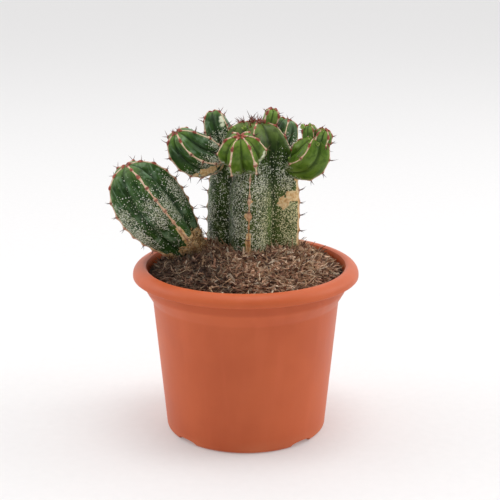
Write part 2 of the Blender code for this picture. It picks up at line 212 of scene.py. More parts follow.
# Dense patches of grains: t, direction and radius.
FROSTED = {
    "left_branch": ((0.63, 10, 6.0), (0.53, 4, 5.0), (0.60, 38, 5.5), (0.50, 46, 5.5),
                    (0.66, -44, 6.0), (0.55, -50, 7.0), (0.44, -50, 6.5), (0.36, -30, 4.5),
                    (0.68, 66, 5.0), (0.56, 72, 6.0), (0.60, 150, 9.0), (0.55, -130, 9.0)),
    "main_stem": ((0.72, -20, 5.0), (0.66, -25, 6.0), (0.74, 14, 5.0), (0.68, 8, 5.0), (0.74, 52, 5.0),
                  (0.66, 50, 4.0), (0.40, -22, 6.0), (0.44, -78, 5.0), (0.70, -74, 5.0), (0.25, -70, 5.0),
                  (0.30, 6, 6.0), (0.45, 50, 7.0), (0.20, -24, 6.0), (0.28, 46, 8.0),
                  (0.60, 150, 12.0), (0.35, 190, 12.0), (0.65, -130, 12.0), (0.4, 110, 9.0)),
}

# Thick knobs on a crest: the crest's number, t, and how much thicker in millimetres.
KNOBS = {
    "main_stem": ((0, 0.565, 0.8), (0, 0.475, 1.25), (0, 0.29, 0.6)),
    "front_head": ((2, 0.62, 0.5),),
}

# Crests that have gone corky: the crest's number, from and to which t, and half the strip's width.
WORN = {
    "main_stem": ((1, 0.22, 0.68, 1.9), (0, 0.10, 0.37, 1.7)),
    "left_branch": ((0, 0.05, 0.38, 1.8), (1, 0.05, 0.40, 1.5)),
}

# Leafy buds on a shoot: t, direction, length of the leaves and how many there are.
BUDS = {
    "right_pup_inner": ((0.90, -60, 3.2, 5), (0.99, 20, 2.0, 4)),
    "right_pup_outer": ((0.98, -30, 2.0, 4), (0.34, -45, 2.4, 5)),
    "main_stem": ((0.795, 60, 2.4, 6), (0.965, -52, 3.0, 6), (0.955, -84, 2.4, 5),
                  (0.985, -30, 2.2, 4)),
    "right_head": ((0.93, 8, 2.2, 5), (0.985, -60, 2.2, 4)),
    "top_pup": ((0.99, 10, 1.5, 3),),
}

# Tufts of young spines on a crown, off its crests: t, direction and how many spines.
TUFTS = {
    "main_stem": ((0.93, -104, 4), (0.975, -112, 4), (0.99, -88, 4), (0.997, -60, 4), (0.998, -130, 4),
                  (0.997, 20, 4), (0.985, -30, 3), (0.99, 178, 3), (0.96, -124, 3)),
}

TUFT_HEART = 14.0               # how far below the tip the point lies that a tuft points away from
TUFT_SPREAD = 0.42
TUFT_SPINES = (3.0, 5.4)        # their lengths
TUFT_THICKNESS = 0.38

# Margins: plain size, how much it wavers, and how much the shield at an eye adds.
MARGIN_WIDTH = (0.32, 0.16, 0.38)
MARGIN_HEIGHT = (0.34, 0.12, 0.30)
MARGIN_SIDES = 8
MARGIN_START = 3                # rings of the skin below the margin's foot
MARGIN_SINK = 0.18
MARGIN_END = 0.05               # half the thickness of its ends
SHIELD_REACH = 1.15
KNOB_REACH = 1.5

# Spines: the two lean this far apart from the crest's normal, in degrees, and vary in length.
SPINE_LEAN = (26, 46)
SPINE_VARIETY = (0.72, 1.15)
SPINE_TILT = (-0.25, 0.30)      # toward the base or the tip
SPINE_SIDES = 6
SPINE_RINGS = 6
SPINE_BEND = 0.16
LOWEST_SPINE = 0.16             # the t under which there are none
BALD_REACH = 3.5                # an eye nearer than this to the tip counts as at the tip

LEAF_SIDES = 8
LEAF_RINGS = 6
LEAF_CURL = 0.30
LEAF_WIDTH = 0.34

# Growing mix. Its litter lies on the CAD solid, in hills, with painted shade on its left side.
HUSK_REACH = 0.24               # the t under which corky skin is frayed
HUSK_FIBRES = 1500              # drawn for each stem, some of them under the mix
FOOT_FIBRES = 900
FOOT_GAP = 4.0                  # furthest that the heaped litter lies from a stem
RIM_SINK = 2.6                  # how much lower the loose litter lies at the rim
HILLS = (2.4, 9)                # height and size of the litter's hills
SKY_HIGH = 200                  # a height over everything, to look down from
STEEPEST = 0.4                  # least upward part of the normal where litter stays
STEM_CLEARANCE = 1.5

# Heaps of litter at the feet of the stems: middle in x and y, reach and height.
FOOT_HEAPS = (((4.8, 21.0), 32.0, 2.6), ((-28.0, 7.0), 16.0, 2.6), ((-21.0, 12.0), 5.0, 4.0))

HIDING_REACH = 30               # a point further than this from a skin isn't inside it
HIDING_DEPTH = 0.4              # how deep a point lies in a skin that hides it
FIT_LIMIT = 3.5                 # furthest a fine shoot may reach past its CAD node's box

# Seeds of the random draws. The shoots, their spines and the layers of litter count up from theirs.
SHOOT_SEED = 7
SPINE_SEED = 70
BUD_SEED = 90
LITTER_SEED = 300
FOOT_SEED = 340
HUSK_SEED = 350

# Stage, in metres. Softboxes: place, size and power.
FLOOR_HALF = 12.0
SOFTBOXES = {
    "left_softbox": ((-1.3, 0.1, 0.8), 0.8, 4.0),
    "right_softbox": ((1.3, 0.1, 0.8), 0.8, 5.5),
    "top_softbox": ((0.1, -0.1, 1.5), 0.6, 5.0),
}
LIGHT_AIM = (0, 0, 0.09)
SKY_FADE = (-0.9, 0.45, 0.42, 1.22)    # Y of a direction, from and to, and the sky's strengths
CAMERA_PLACE = (2.23, -600, 268.5)     # in millimetres
CAMERA_DIP = 15.87              # degrees below the horizon
CAMERA_LENS = 84.58


def srgb(red, green, blue):
    """A colour given in 0 to 255 display values, as linear RGBA."""
    parts = np.array((red, green, blue)) / 255
    linear = np.where(parts <= 0.04045, parts / 12.92, ((parts + 0.055) / 1.055) ** 2.4)
    return (*linear.tolist(), 1.0)


def smoothstep(low, high, value):
    """0 to 1, eased, as value goes from low to high, which may be the lower one."""
    share = np.clip((np.asarray(value, float) - low) / (high - low), 0, 1)
    return share * share * (3 - 2 * share)


def unit(vectors):
    """The vectors at length 1."""
    return vectors / np.maximum(np.linalg.norm(vectors, axis=-1, keepdims=True), 1e-9)


def rumple(points, size, seed=0):
    """Smooth noise from -1 to 1 at each point, with features of that size."""
    shift = Vector((seed * 7.31, seed * 3.17, seed * 5.53))
    flat = np.asarray(points, float).reshape(-1, 3) / size
    values = [noise.noise(Vector(point) + shift) for point in flat.tolist()]
    return np.array(values).reshape(np.shape(points)[:-1])


# ---------------------------------------------------------------- meshes

def new_piece(name, points, faces, material, layers=None, smooth=True):
    """A mesh piece that rides on the root body. layers holds named values for its points."""
    mesh = bpy.data.meshes.new(name)
    mesh.from_pydata((np.asarray(points) * MM).tolist(), [], faces)
    kinds = {1: ("FLOAT", "value"), 3: ("FLOAT_VECTOR", "vector"), 4: ("FLOAT_COLOR", "color")}
    for layer, values in (layers or {}).items():
        values = np.asarray(values, np.float32)
        kind, field = kinds[1 if values.ndim == 1 else values.shape[1]]
        mesh.attributes.new(layer, kind, "POINT").data.foreach_set(field, values.ravel())
    mesh.materials.append(material)
    if smooth:
        mesh.shade_smooth()
    piece = bpy.data.objects.new(name, mesh)
    bpy.context.scene.collection.objects.link(piece)
    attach(piece, "root")
    return piece


def tube_faces(count, around):
    """Faces of a closed tube of rings, whose start and end points follow the rings' points."""
    lower = np.arange((count - 1) * around).reshape(count - 1, around)
    after = np.roll(lower, -1, axis=1)
    quads = np.stack([lower, after, after + around, lower + around], -1).reshape(-1, 4)
    first = np.arange(around)
    last = first + (count - 1) * around
    start, end = count * around, count * around + 1
    fan_in = [(b, a, start) for a, b in zip(first.tolist(), np.roll(first, -1).tolist())]
    fan_out = [(a, b, end) for a, b in zip(last.tolist(), np.roll(last, -1).tolist())]
    return quads.tolist() + fan_in + fan_out


def tube_points(rings, start, end):
    """Points in the order that tube_faces expects."""
    return np.concatenate([rings.reshape(-1, 3), [start], [end]])


class Heap:
    """Closed bodies gathered into one mesh, each with values for its points."""

    def __init__(self):
        self.points, self.faces, self.layers, self.count = [], [], {}, 0

    def add(self, points, faces, **layers):
        self.points.append(points)
        self.faces += [[corner + self.count for corner in face] for face in faces]
        for layer, values in layers.items():
            self.layers.setdefault(layer, []).append(values)
        self.count += len(points)

    def piece(self, name, material, slot, smooth=True):
        layers = {layer: np.concatenate(values) for layer, values in self.layers.items()}
        return new_piece(name, np.concatenate(self.points), self.faces, material,
                         layers, smooth)


# ---------------------------------------------------------------- materials

class Paint:
    """A node material that is built by short calls."""

    def __init__(self, name):
        self.material = bpy.data.materials.new(name)
        self.material.use_nodes = True
        self.nodes = self.material.node_tree.nodes
        self.links = self.material.node_tree.links
        self.shader = self.nodes["Principled BSDF"]

    def node(self, kind, inputs=None, **settings):
        made = self.nodes.new("ShaderNode" + kind)
        for setting, value in settings.items():
            setattr(made, setting, value)
        for socket, value in (inputs or {}).items():
            self.put(made.inputs[socket], value)
        return made

    def put(self, socket, value):
        if isinstance(value, bpy.types.NodeSocket):
            self.links.new(value, socket)
        else:
            socket.default_value = value

    def set(self, socket, value):
        self.put(self.shader.inputs[socket], value)

    def place(self):
        """The point's place in the object's frame, in millimetres."""
        object_place = self.node("TexCoord").outputs["Object"]
        return self.node("VectorMath", {0: object_place, "Scale": 1 / MM},
                         operation="SCALE").outputs["Vector"]

    def attribute(self, name, output="Fac"):
        return self.node("Attribute", attribute_name=name).outputs[output]

    def split(self, colour):
        """The red, green and blue sockets of a colour."""
        parts = self.node("SeparateColor", {"Color": colour})
        return [parts.outputs[i] for i in range(3)]

    def stretch(self, vector, factors):
        return self.node("VectorMath", {0: vector, 1: factors},
                         operation="MULTIPLY").outputs["Vector"]

    def noise(self, vector, size, detail=3.0, roughness=0.55, distortion=0.0):
        inputs = {"Vector": vector, "Scale": 1 / size, "Detail": detail,
                  "Roughness": roughness, "Distortion": distortion}
        return self.node("TexNoise", inputs).outputs["Fac"]

    def math(self, operation, first, second=0.0, third=0.0):
        inputs = {0: first, 1: second, 2: third}
        return self.node("Math", inputs, operation=operation).outputs[0]

    def span(self, value, low, high, to_low=0.0, to_high=1.0):
        """value eased from low..high onto to_low..to_high."""
        inputs = {"Value": value, "From Min": low, "From Max": high,
                  "To Min": to_low, "To Max": to_high}
        return self.node("MapRange", inputs, interpolation_type="SMOOTHSTEP").outputs["Result"]

    def mix(self, share, first, second):
        made = self.node("Mix", data_type="RGBA", clamp_factor=True)
        self.put(made.inputs["Factor"], share)
        self.put(made.inputs[6], first)
        self.put(made.inputs[7], second)
        return made.outputs[2]

    def ramp(self, share, stops):
        """A colour ramp. Each stop is a place and a display colour."""
        made = self.node("ValToRGB", {"Fac": share})
        points = made.color_ramp.elements
        while len(points) < len(stops):
            points.new(0.5)
        for point, (place, *colour) in zip(points, stops):
            point.position = place
            point.color = srgb(*colour)
        return made.outputs["Color"]

    def bump(self, height, depth, strength=1.0, under=None):
        """Raised detail, depth in millimetres."""
        inputs = {"Height": height, "Distance": depth * MM, "Strength": strength}
        if under is not None:
            inputs["Normal"] = under
        return self.node("Bump", inputs).outputs["Normal"]


# Layers of grains: size, reach of the dot in its cell, light and dull colour.
GRAINS = ((0.80, 0.55, (251, 251, 240), (210, 214, 192)),
          (0.52, 0.56, (230, 233, 208), (140, 154, 102)))


def skin_paint(name, deep, green, fresh, bloom_and_sheen, yellow_side=None):
    """Waxy succulent skin, streaked along its growth, with grey grains and corky patches.

    sunned is the X from and to which the lower skin turns yellower.
    """
    paint = Paint(name)
    place, flow = paint.place(), paint.attribute("flow", "Vector")
    grain, cork, youth = paint.split(paint.attribute("skin", "Color"))
    callus, off_crest = paint.attribute("skin", "Alpha"), paint.attribute("off_crest")

    mottle = paint.noise(place, 9.0, 4.0, 0.6)
    streaks = paint.noise(paint.stretch(flow, (1 / 1.5, 1 / 11.0, 1.0)), 1.0, 3.0, 0.55, 0.4)
    fine_streaks = paint.noise(paint.stretch(flow, (1 / 0.5, 1 / 5.0, 1.0)), 1.0, 2.0)
    colour = paint.mix(paint.span(mottle, 0.32, 0.68), deep, green)
    colour = paint.mix(paint.span(streaks, 0.50, 0.74, 0.0, 0.42), colour, bloom_and_sheen)
    colour = paint.mix(paint.span(fine_streaks, 0.55, 0.75, 0.0, 0.25), colour, fresh)
    if yellow_side:
        parts = paint.node("SeparateXYZ", {0: place}).outputs
        side, low = parts["X"], paint.span(parts["Z"], 140.0, 122.0)
        warm = paint.span(paint.math("MULTIPLY_ADD", mottle, 12.0, side), *yellow_side)
        warm = paint.math("MULTIPLY", warm, low)
        colour = paint.mix(paint.math("MULTIPLY", warm, 0.55), colour, fresh)
    colour = paint.mix(paint.math("MULTIPLY", youth, 0.6), colour, fresh)
    # A darker copy of the deep green: painted shade in the furrows, and a darker tone in the dapples and
    # between the grains.
    shade = (*(FURROW_SHADE * part for part in deep[:3]), 1.0)
    dapple, sheen = paint.noise(place, 2.6, 3.0), paint.noise(place, 5.5, 2.0)
    colour = paint.mix(paint.span(dapple, 0.48, 0.70, 0.0, 0.50), colour, shade)
    # Noise patches lightened toward the pale bloom colour, as painted sheen.
    colour = paint.mix(paint.span(sheen, 0.53, 0.72, 0.0, 0.52), colour, bloom_and_sheen)
    # Crests lightened toward the fresh green as painted highlight.
    colour = paint.mix(paint.span(off_crest, 0.30, 0.02, 0.0, 0.40), colour, fresh)
    # Furrows darkened as painted shade.
    colour = paint.mix(paint.span(off_crest, 0.72, 1.0, 0.0, 0.62), colour, shade)

    colour = paint.mix(paint.span(grain, 0.05, 0.60, 0.0, 0.55), colour, shade)
    heights = []
    for size, reach, light, dull in GRAINS:
        cell = paint.node("TexVoronoi", {"Vector": place, "Scale": 1 / size})
        pick, tone, _ = paint.split(cell.outputs["Color"])
        present = paint.math("GREATER_THAN", grain, paint.math("MULTIPLY_ADD", pick, 0.94, 0.04))
        dot = paint.span(cell.outputs["Distance"], reach, reach * 0.62)
        dot = paint.math("MULTIPLY", dot, present)
        speck = paint.mix(tone, srgb(*dull), srgb(*light))
        if yellow_side:
            speck = paint.mix(paint.math("MULTIPLY", warm, 0.7), speck, srgb(232, 222, 160))
        colour = paint.mix(paint.math("MULTIPLY", dot, 0.92), colour, speck)
        heights.append(paint.math("MULTIPLY", dot, size))

    rough_cork = paint.noise(place, 2.6, 5.0, 0.65)
    corky = paint.math("ADD", cork, paint.math("MULTIPLY_ADD", rough_cork, 0.9, -0.45))
    corky = paint.span(corky, 0.42, 0.58)
    bark = paint.ramp(paint.noise(place, 1.5, 4.0, 0.6, 0.5), (
        (0.22, 166, 112, 62), (0.42, 226, 184, 126), (0.66, 250, 228, 182)))
    colour = paint.mix(corky, colour, bark)
    chalk = paint.mix(rough_cork, srgb(206, 218, 176), srgb(238, 238, 216))
    colour = paint.mix(callus, colour, chalk)
    paint.set("Base Color", colour)

    dusty = paint.math("MAXIMUM", corky, paint.math("MULTIPLY", heights[0], 0.8))
    gloss = paint.span(streaks, 0.3, 0.8, 0.28, 0.46)
    paint.set("Roughness", paint.math("MAXIMUM", gloss, paint.math("MULTIPLY", dusty, 0.85)))
    paint.set("Specular IOR Level", 0.17)
    paint.set("Subsurface Weight", 0.06)
    paint.set("Subsurface Radius", (0.0012, 0.0018, 0.0006))
    paint.set("Subsurface Scale", 1.0)

    normal = paint.bump(paint.math("ADD", *heights), 0.22, 0.9)
    normal = paint.bump(streaks, 0.35, 0.5, normal)
    normal = paint.bump(paint.math("MULTIPLY", rough_cork, corky), 0.9, 0.9, normal)
    paint.set("Normal", normal)
    return paint.material


def margin_paint():
    """Horny rib margin: tan between the eyes, red-brown at them and on young growth."""
    paint = Paint("horny_margin")
    place = paint.place()
    eye, youth, wear = paint.split(paint.attribute("horn", "Color"))
    patches = paint.noise(place, 1.8, 4.0, 0.6)
    pale = paint.ramp(patches, (
        (0.28, 186, 138, 106), (0.50, 228, 194, 164), (0.72, 246, 230, 208)))
    aged = paint.ramp(patches, (
        (0.30, 146, 90, 52), (0.50, 196, 136, 86), (0.72, 216, 172, 122)))
    red = paint.ramp(patches, (
        (0.25, 98, 38, 32), (0.50, 158, 74, 56), (0.75, 204, 124, 96)))
    colour = paint.mix(wear, pale, aged)
    ruddy = paint.math("ADD", eye, paint.math("MULTIPLY", youth, 0.55))
    ruddy = paint.math("ADD", ruddy, paint.math("MULTIPLY_ADD", patches, 0.7, -0.35))
    ruddy = paint.math("ADD", ruddy, paint.math("MULTIPLY", wear, -0.35))
    colour = paint.mix(paint.span(ruddy, 0.50, 1.05), colour, red)
    paint.set("Base Color", colour)
    paint.set("Roughness", paint.span(patches, 0.3, 0.7, 0.45, 0.72))
    paint.set("Normal", paint.bump(paint.noise(place, 0.5, 3.0), 0.25, 0.8))
    return paint.material


def spine_paint():
    """Spines: red-brown at the shield, grey-brown to almost black at the point."""
    paint = Paint("spine")
    along, youth, tone = paint.split(paint.attribute("spine", "Color"))
    grey = paint.ramp(along, (
        (0.0, 120, 58, 42), (0.30, 74, 44, 38), (0.62, 50, 38, 38),
        (1.0, 28, 20, 22)))
    red = paint.ramp(along, (
        (0.0, 178, 92, 72), (0.35, 146, 52, 44), (1.0, 92, 28, 32)))
    colour = paint.mix(youth, grey, red)
    colour = paint.mix(paint.math("MULTIPLY", tone, 0.35), colour, srgb(168, 128, 104))
    streak = paint.noise(paint.place(), 0.35, 2.0)
    colour = paint.mix(paint.span(streak, 0.35, 0.7, 0.0, 0.35), colour, srgb(44, 28, 26))
    paint.set("Base Color", colour)
    paint.set("Roughness", paint.span(streak, 0.3, 0.7, 0.42, 0.62))
    return paint.material


def pot_paint():
    """Injection-moulded terracotta plastic: satin, faintly mottled, dusty at the foot."""
    paint = Paint("terracotta_plastic")
    place = paint.place()
    cloud = paint.noise(place, 42.0, 3.0, 0.5)
    drawn = paint.noise(paint.stretch(place, (1 / 9.0, 1 / 9.0, 1 / 70.0)), 1.0, 3.0)
    fleck = paint.noise(place, 0.55, 2.0)
    colour = paint.mix(paint.span(cloud, 0.3, 0.7), srgb(193, 89, 46), srgb(204, 99, 55))
    colour = paint.mix(paint.span(drawn, 0.45, 0.75, 0.0, 0.30), colour, srgb(212, 104, 64))
    colour = paint.mix(paint.span(fleck, 0.62, 0.80, 0.0, 0.25), colour, srgb(168, 70, 38))
    height = paint.node("SeparateXYZ", {0: place}).outputs["Z"]
    dust = paint.math("MULTIPLY", paint.span(height, 9.0, 0.0), paint.span(cloud, 0.35, 0.65))
    scuffs = paint.noise(paint.stretch(place, (1.0, 1.0, 1 / 3.0)), 3.2, 5.0, 0.7)
    dust = paint.math("MAXIMUM", paint.math("MULTIPLY", dust, 0.25),
                      paint.span(scuffs, 0.66, 0.80, 0.0, 0.10))
    colour = paint.mix(dust, colour, srgb(220, 146, 108))
    paint.set("Base Color", colour)
    rough = paint.span(cloud, 0.25, 0.75, 0.40, 0.50)
    paint.set("Roughness", paint.math("ADD", rough, paint.math("MULTIPLY", dust, 0.5)))
    paint.set("Specular IOR Level", 0.32)
    paint.set("Subsurface Weight", 0.05)
    paint.set("Subsurface Radius", (0.003, 0.001, 0.0006))
    paint.set("Subsurface Scale", 1.0)
    normal = paint.bump(fleck, 0.03, 0.5)
    paint.set("Normal", paint.bump(drawn, 0.35, 0.35, normal))
    return paint.material


def soil_paint():
    """Fine dark humus between the chips."""
    paint = Paint("humus")
    place = paint.place()
    crumbs = paint.noise(place, 1.6, 6.0, 0.7)
    colour = paint.ramp(crumbs, (
        (0.30, 22, 14, 12), (0.52, 48, 32, 26), (0.74, 92, 66, 50)))
    paint.set("Base Color", colour)
    paint.set("Roughness", paint.span(crumbs, 0.3, 0.7, 0.85, 1.0))
    paint.set("Normal", paint.bump(crumbs, 1.6, 1.0))
    return paint.material


def chip_paint(name, tones):
    """Bark and coir, with each chip in its own tone and grain along its length."""
    paint = Paint(name)
    place = paint.place()
    tone, shade, _ = paint.split(paint.attribute("chip", "Color"))
    grain = paint.noise(paint.stretch(paint.attribute("flow", "Vector"), (1 / 0.4, 1 / 3.0, 1.0)),
                        1.0, 3.0, 0.6)
    colour = paint.ramp(tone, tones)
    # Dark streaks along the grain: partly the chips' own grain, partly painted shade of the gaps between
    # them.
    colour = paint.mix(paint.span(grain, 0.42, 0.68, 0.0, 0.55), colour, srgb(40, 26, 20))
    # Lighter noise patches, as painted highlights.
    colour = paint.mix(paint.span(paint.noise(place, 2.0), 0.55, 0.78, 0.0, 0.4), colour,
                       srgb(176, 142, 112))
    # Darkened toward near black by the chip's shade value, as painted shade.
    colour = paint.mix(paint.math("MULTIPLY", shade, 0.8), colour, srgb(34, 22, 18))
    paint.set("Base Color", colour)
    paint.set("Roughness", paint.span(grain, 0.3, 0.7, 0.78, 0.95))
    paint.set("Normal", paint.bump(grain, 0.3, 0.8))
    return paint.material


# ---------------------------------------------------------------- shoots

def axis_points(shoot, t):
    """Points and directions of a shoot's bent axis at each t."""
    base, tip = np.array(shoot["base"]), np.array(shoot["tip"])
    middle = (base + tip) / 2 + 2 * np.array(shoot["bend"])
    t = np.asarray(t, float)[..., None]
    points = base * (1 - t) ** 2 + middle * (2 * t * (1 - t)) + tip * t ** 2
    return points, unit((middle - base) * (1 - t) + (tip - middle) * t)


def stations(shoot):
    """(t, share of the belly's radius) of the rings, from the base and over the dome."""
    length = np.linalg.norm(np.subtract(shoot["tip"], shoot["base"]))
    belly, neck = shoot["belly"], shoot["neck"]
    body = np.arange(0, belly, RING_STEP / length)
    rise = np.minimum(body / shoot["shoulder"], 1)
    rings = ceil(pi / 2 * max(shoot["radius"], DOME_RADIUS) / RING_STEP) + DOME_RINGS
    angles = np.linspace(0, pi / 2, rings)[:-1]
    t = np.concatenate([body, belly + (1 - belly) * np.sin(angles)])
    share = np.concatenate([neck + (1 - neck) * np.sin(rise * pi / 2),
                            np.cos(angles) ** shoot["blunt"]])
    return t, share


def columns(shoot):
    """For each column round a shoot: its angle, share off its crest, crest, rib and size."""
    steps = shoot["flank_steps"]
    off = (np.arange(steps + 1) / steps) ** COLUMN_EASE
    crests = list(shoot["crests"])
    count = len(crests)
    angle, away, near, rib, scale = [], [], [], [], []
    for k, (here, after) in enumerate(zip(crests, crests[1:] + [crests[0] + 360])):
        along = np.concatenate([off / 2, 1 - off[-2:0:-1] / 2])
        angle.append(np.radians(here + (after - here) * along))
        away.append(np.concatenate([off, off[-2:0:-1]]))
        near.append(np.where(along <= 0.5, k, (k + 1) % count))
        rib.append(np.full(len(along), k))
        size = shoot.get("sizes", (1,) * count)
        scale.append(size[k] + (size[(k + 1) % count] - size[k]) * along)
    return [np.concatenate(parts) for parts in (angle, away, near, rib, scale)]


def eye_places(total, shoot, draw):
    """Distances of the eyes from the tip along one crest: crowded at first, then evenly spaced."""
    places = [FIRST_EYE[0] + FIRST_EYE[1] * draw.random()]
    gap = shoot["crowd"] * shoot["spacing"]
    while places[-1] < total:
        places.append(places[-1] + gap * draw.uniform(*EYE_VARIETY))
        gap = min(gap + EYE_GAIN * shoot["spacing"], shoot["spacing"])
    return np.array(places[:-1])


def grow(name, draw):
    """The fine skin of a shoot, and its crest lines with their eyes."""
    shoot = {**USUAL, **SHOOTS[name]}
    t, share = stations(shoot)
    centre, heading = axis_points(shoot, t)
    ahead = unit(FRONT - heading * (heading @ FRONT)[:, None])
    aside = np.cross(heading, ahead)
    angle, away, near, rib, scale = columns(shoot)
    radial = ahead[:, None] * np.cos(angle)[None, :, None] \
        + aside[:, None] * np.sin(angle)[None, :, None]
    fall = CREST_ANGULARITY * away + (1 - CREST_ANGULARITY) * away ** FLANK_POWER
    fall = fall + shoot["valley"] * ((1 - np.cos(pi * away)) / 2 - fall)
    radius = shoot["radius"] * share
    reach = radius[:, None] * (scale * (1 - shoot["depth"] * fall))[None]
    skin = centre[:, None] + radial * reach[..., None]

    fineness = np.minimum(1, radius / 10)[:, None]
    loose = 1 - (1 - away) ** 4
    swell = sum(height * rumple(skin, size, seed) for height, size, seed in SWELLS)
    swell = swell * loose * fineness
    depth, width = CREASE
    crease = -depth * (1 - shoot["valley"]) * np.exp(-((1 - away) / width) ** 2)[None]
    swell = swell + crease * fineness

    tip = np.array(shoot["tip"])
    crests = []
    for k in range(len(shoot["crests"])):
        column = int(np.flatnonzero(near == k)[np.argmin(away[near == k])])
        path = np.concatenate([skin[:, column], [tip]])
        to_tip = np.cumsum(np.linalg.norm(np.diff(path, axis=0), axis=1)[::-1])[::-1]
        eyes = eye_places(to_tip[0], shoot, draw)
        bumps = np.exp(-((to_tip[:, None] - eyes[None]) / CRENATION_REACH) ** 2).sum(1)
        rise = CRENATION * np.minimum(1, radius / 9) * np.minimum(bumps, 1.1)
        swell[:, near == k] += rise[:, None] * (1 - away[near == k])[None] ** CRENATION_POWER
        crests.append(SimpleNamespace(column=column, to_tip=to_tip, eyes=eyes))
    skin = skin + radial * swell[..., None]
    arch = shoot["dimple"] * min(1, shoot["radius"] / 10)
    arch = arch * np.sin(pi * np.minimum(share, 1)) ** 2
    arch = np.where(t > shoot["belly"], arch, 0)[:, None] * (1 - away[None]) ** 2
    skin = skin + heading[:, None] * arch[..., None]

    for crest in crests:
        crest.path = skin[:, crest.column]
        crest.tangent = unit(np.gradient(crest.path, axis=0))
        out = radial[:, crest.column]
        crest.out = unit(out - crest.tangent * (out * crest.tangent).sum(1)[:, None])
        crest.side = np.cross(crest.tangent, crest.out)
    flow = np.zeros(skin.shape)
    flow[..., 0] = radius[:, None] * angle[None]
    flow[..., 1] = np.concatenate([[0], np.cumsum(np.linalg.norm(np.diff(
        centre + radius[:, None] * ahead, axis=0), axis=1))])[:, None]
    return SimpleNamespace(name=name, shoot=shoot, t=t, skin=skin, tip=tip, centre=centre,
                           angle=angle, away=away, rib=rib, crests=crests, flow=flow)


def nearest_cell(grown, place, direction):
    """Row and column of the skin's point at that t and direction."""
    turned = (grown.angle - radians(direction) + pi) % (2 * pi) - pi
    return int(np.argmin(np.abs(grown.t - place))), int(np.argmin(np.abs(turned)))


def skin_spot(grown, place, direction):
    """How far each point of the skin is from the spot at that t and direction."""
    return np.linalg.norm(grown.skin - grown.skin[nearest_cell(grown, place, direction)], axis=-1)


def skin_layers(grown):
    """How much each point of the skin has of grains, cork, young growth and callus."""
    shoot, skin = grown.shoot, grown.skin
    t, away = grown.t[:, None], grown.away[None]
    dense, none = shoot["grains"]
    patches = 0.9 * rumple(skin, 13, 3) + 0.6 * rumple(skin, 5, 4)
    edge = np.array(shoot["furrow"])[grown.rib][None]
    grain = smoothstep(none, dense, t + 0.10 * patches)
    grain = grain * smoothstep(edge + 0.22, edge - 0.10, away + 0.12 * patches)
    frosted = np.full_like(grain, 0.0 if grown.name in FROSTED else 1.0)
    for place, direction, size in FROSTED.get(grown.name, ()):
        spot = skin_spot(grown, place, direction)
        frosted = np.maximum(frosted, smoothstep(1.35, 0.65, spot / size + 0.35 * patches))
    full, least, bare = shoot["frost"], shoot["least"], shoot["bare"]
    grain = grain * (least + (full - least) * frosted + 0.45 * patches)
    grain = grain * smoothstep(bare, bare + 0.25, t)
    specks = smoothstep(none + 0.1, dense, t + 0.12 * patches) * shoot["specks"]
    grain = np.clip(np.maximum(grain, specks), 0, 1) * (none > 0)

    cork = smoothstep(shoot["cork"] + 0.05, shoot["cork"] - 0.05, t + 0.03 * patches)
    cork = np.broadcast_to(cork, skin.shape[:2]).copy() * (shoot["cork"] > 0)
    for place, direction, size in SCARS.get(grown.name, ()):
        ragged = 0.35 * patches + 0.50 * rumple(skin, 2.0, 5)
        spot = skin_spot(grown, place, direction)
        cork = np.maximum(cork, smoothstep(1.25, 0.75, spot / size + ragged))
    for number, low, high, size in WORN.get(grown.name, ()):
        line = grown.crests[number].path[:, None]
        aside = np.linalg.norm(skin - line, axis=-1) / size + 0.35 * rumple(skin, 2.5, 6)
        length = smoothstep(low - 0.03, low + 0.03, t) * smoothstep(high + 0.04, high - 0.04, t)
        cork = np.maximum(cork, smoothstep(1.3, 0.7, aside) * length)
    callus = np.zeros_like(grain)
    for place, direction, size in CALLUSES.get(grown.name, ()):
        spot, ragged = skin_spot(grown, place, direction), 0.20 * rumple(skin, 1.6, 7)
        callus = np.maximum(callus, smoothstep(1.15, 0.8, spot / size + ragged))
    youth = smoothstep(shoot["young"], 1.0, t + 0.03 * patches) * np.ones_like(away)
    return np.stack([grain, cork, youth, callus], -1)


def check_fit(grown):
    """Stops the script if a shoot has grown too far out of its CAD node's box.

    Points well under the box are left out: the CAD has cut that foot off, and it is out of sight.
    """
    flat = grown.skin.reshape(-1, 3)
    lowest, highest = (np.array(corner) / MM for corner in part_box(grown.name))
    seen = flat[(flat > lowest - FIT_LIMIT).all(1)]
    past = max(max(lowest - seen.min(0)), max(seen.max(0) - highest))
    if past > FIT_LIMIT:
        raise ValueError(f"{grown.name} reaches {past:.1f} mm past its CAD node")


def build_skin(grown, material):
    """The shoot's skin, which stands for its CAD node. Keeps its cork for the husk."""
    count, around = grown.skin.shape[:2]
    base = grown.centre[0]
    points = tube_points(grown.skin, base, grown.tip)
    skin = skin_layers(grown)
    flow = np.concatenate([grown.flow.reshape(-1, 3), grown.flow[0, :1], grown.flow[-1, :1]])
    grown.cork = skin[..., 1]
    colours = np.concatenate([skin.reshape(-1, 4), skin[0, :1], skin[-1, :1]])
    off = np.broadcast_to(grown.away[None], (count, around)).reshape(-1)
    layers = {"flow": flow, "skin": colours, "off_crest": np.concatenate([off, [0.5, 0.5]])}
    piece = new_piece(grown.name + "_skin", points, tube_faces(count, around), material,
                      layers)
    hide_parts(grown.name)


def hidden_in(point, trees, own):
    """Whether a point lies inside the skin of another shoot."""
    for name, tree in trees.items():
        if name == own:
            continue
        place, normal, _, distance = tree.find_nearest(Vector(point))
        inside = (Vector(point) - place).dot(normal) < -HIDING_DEPTH
        if distance < HIDING_REACH and inside:
            return True
    return False


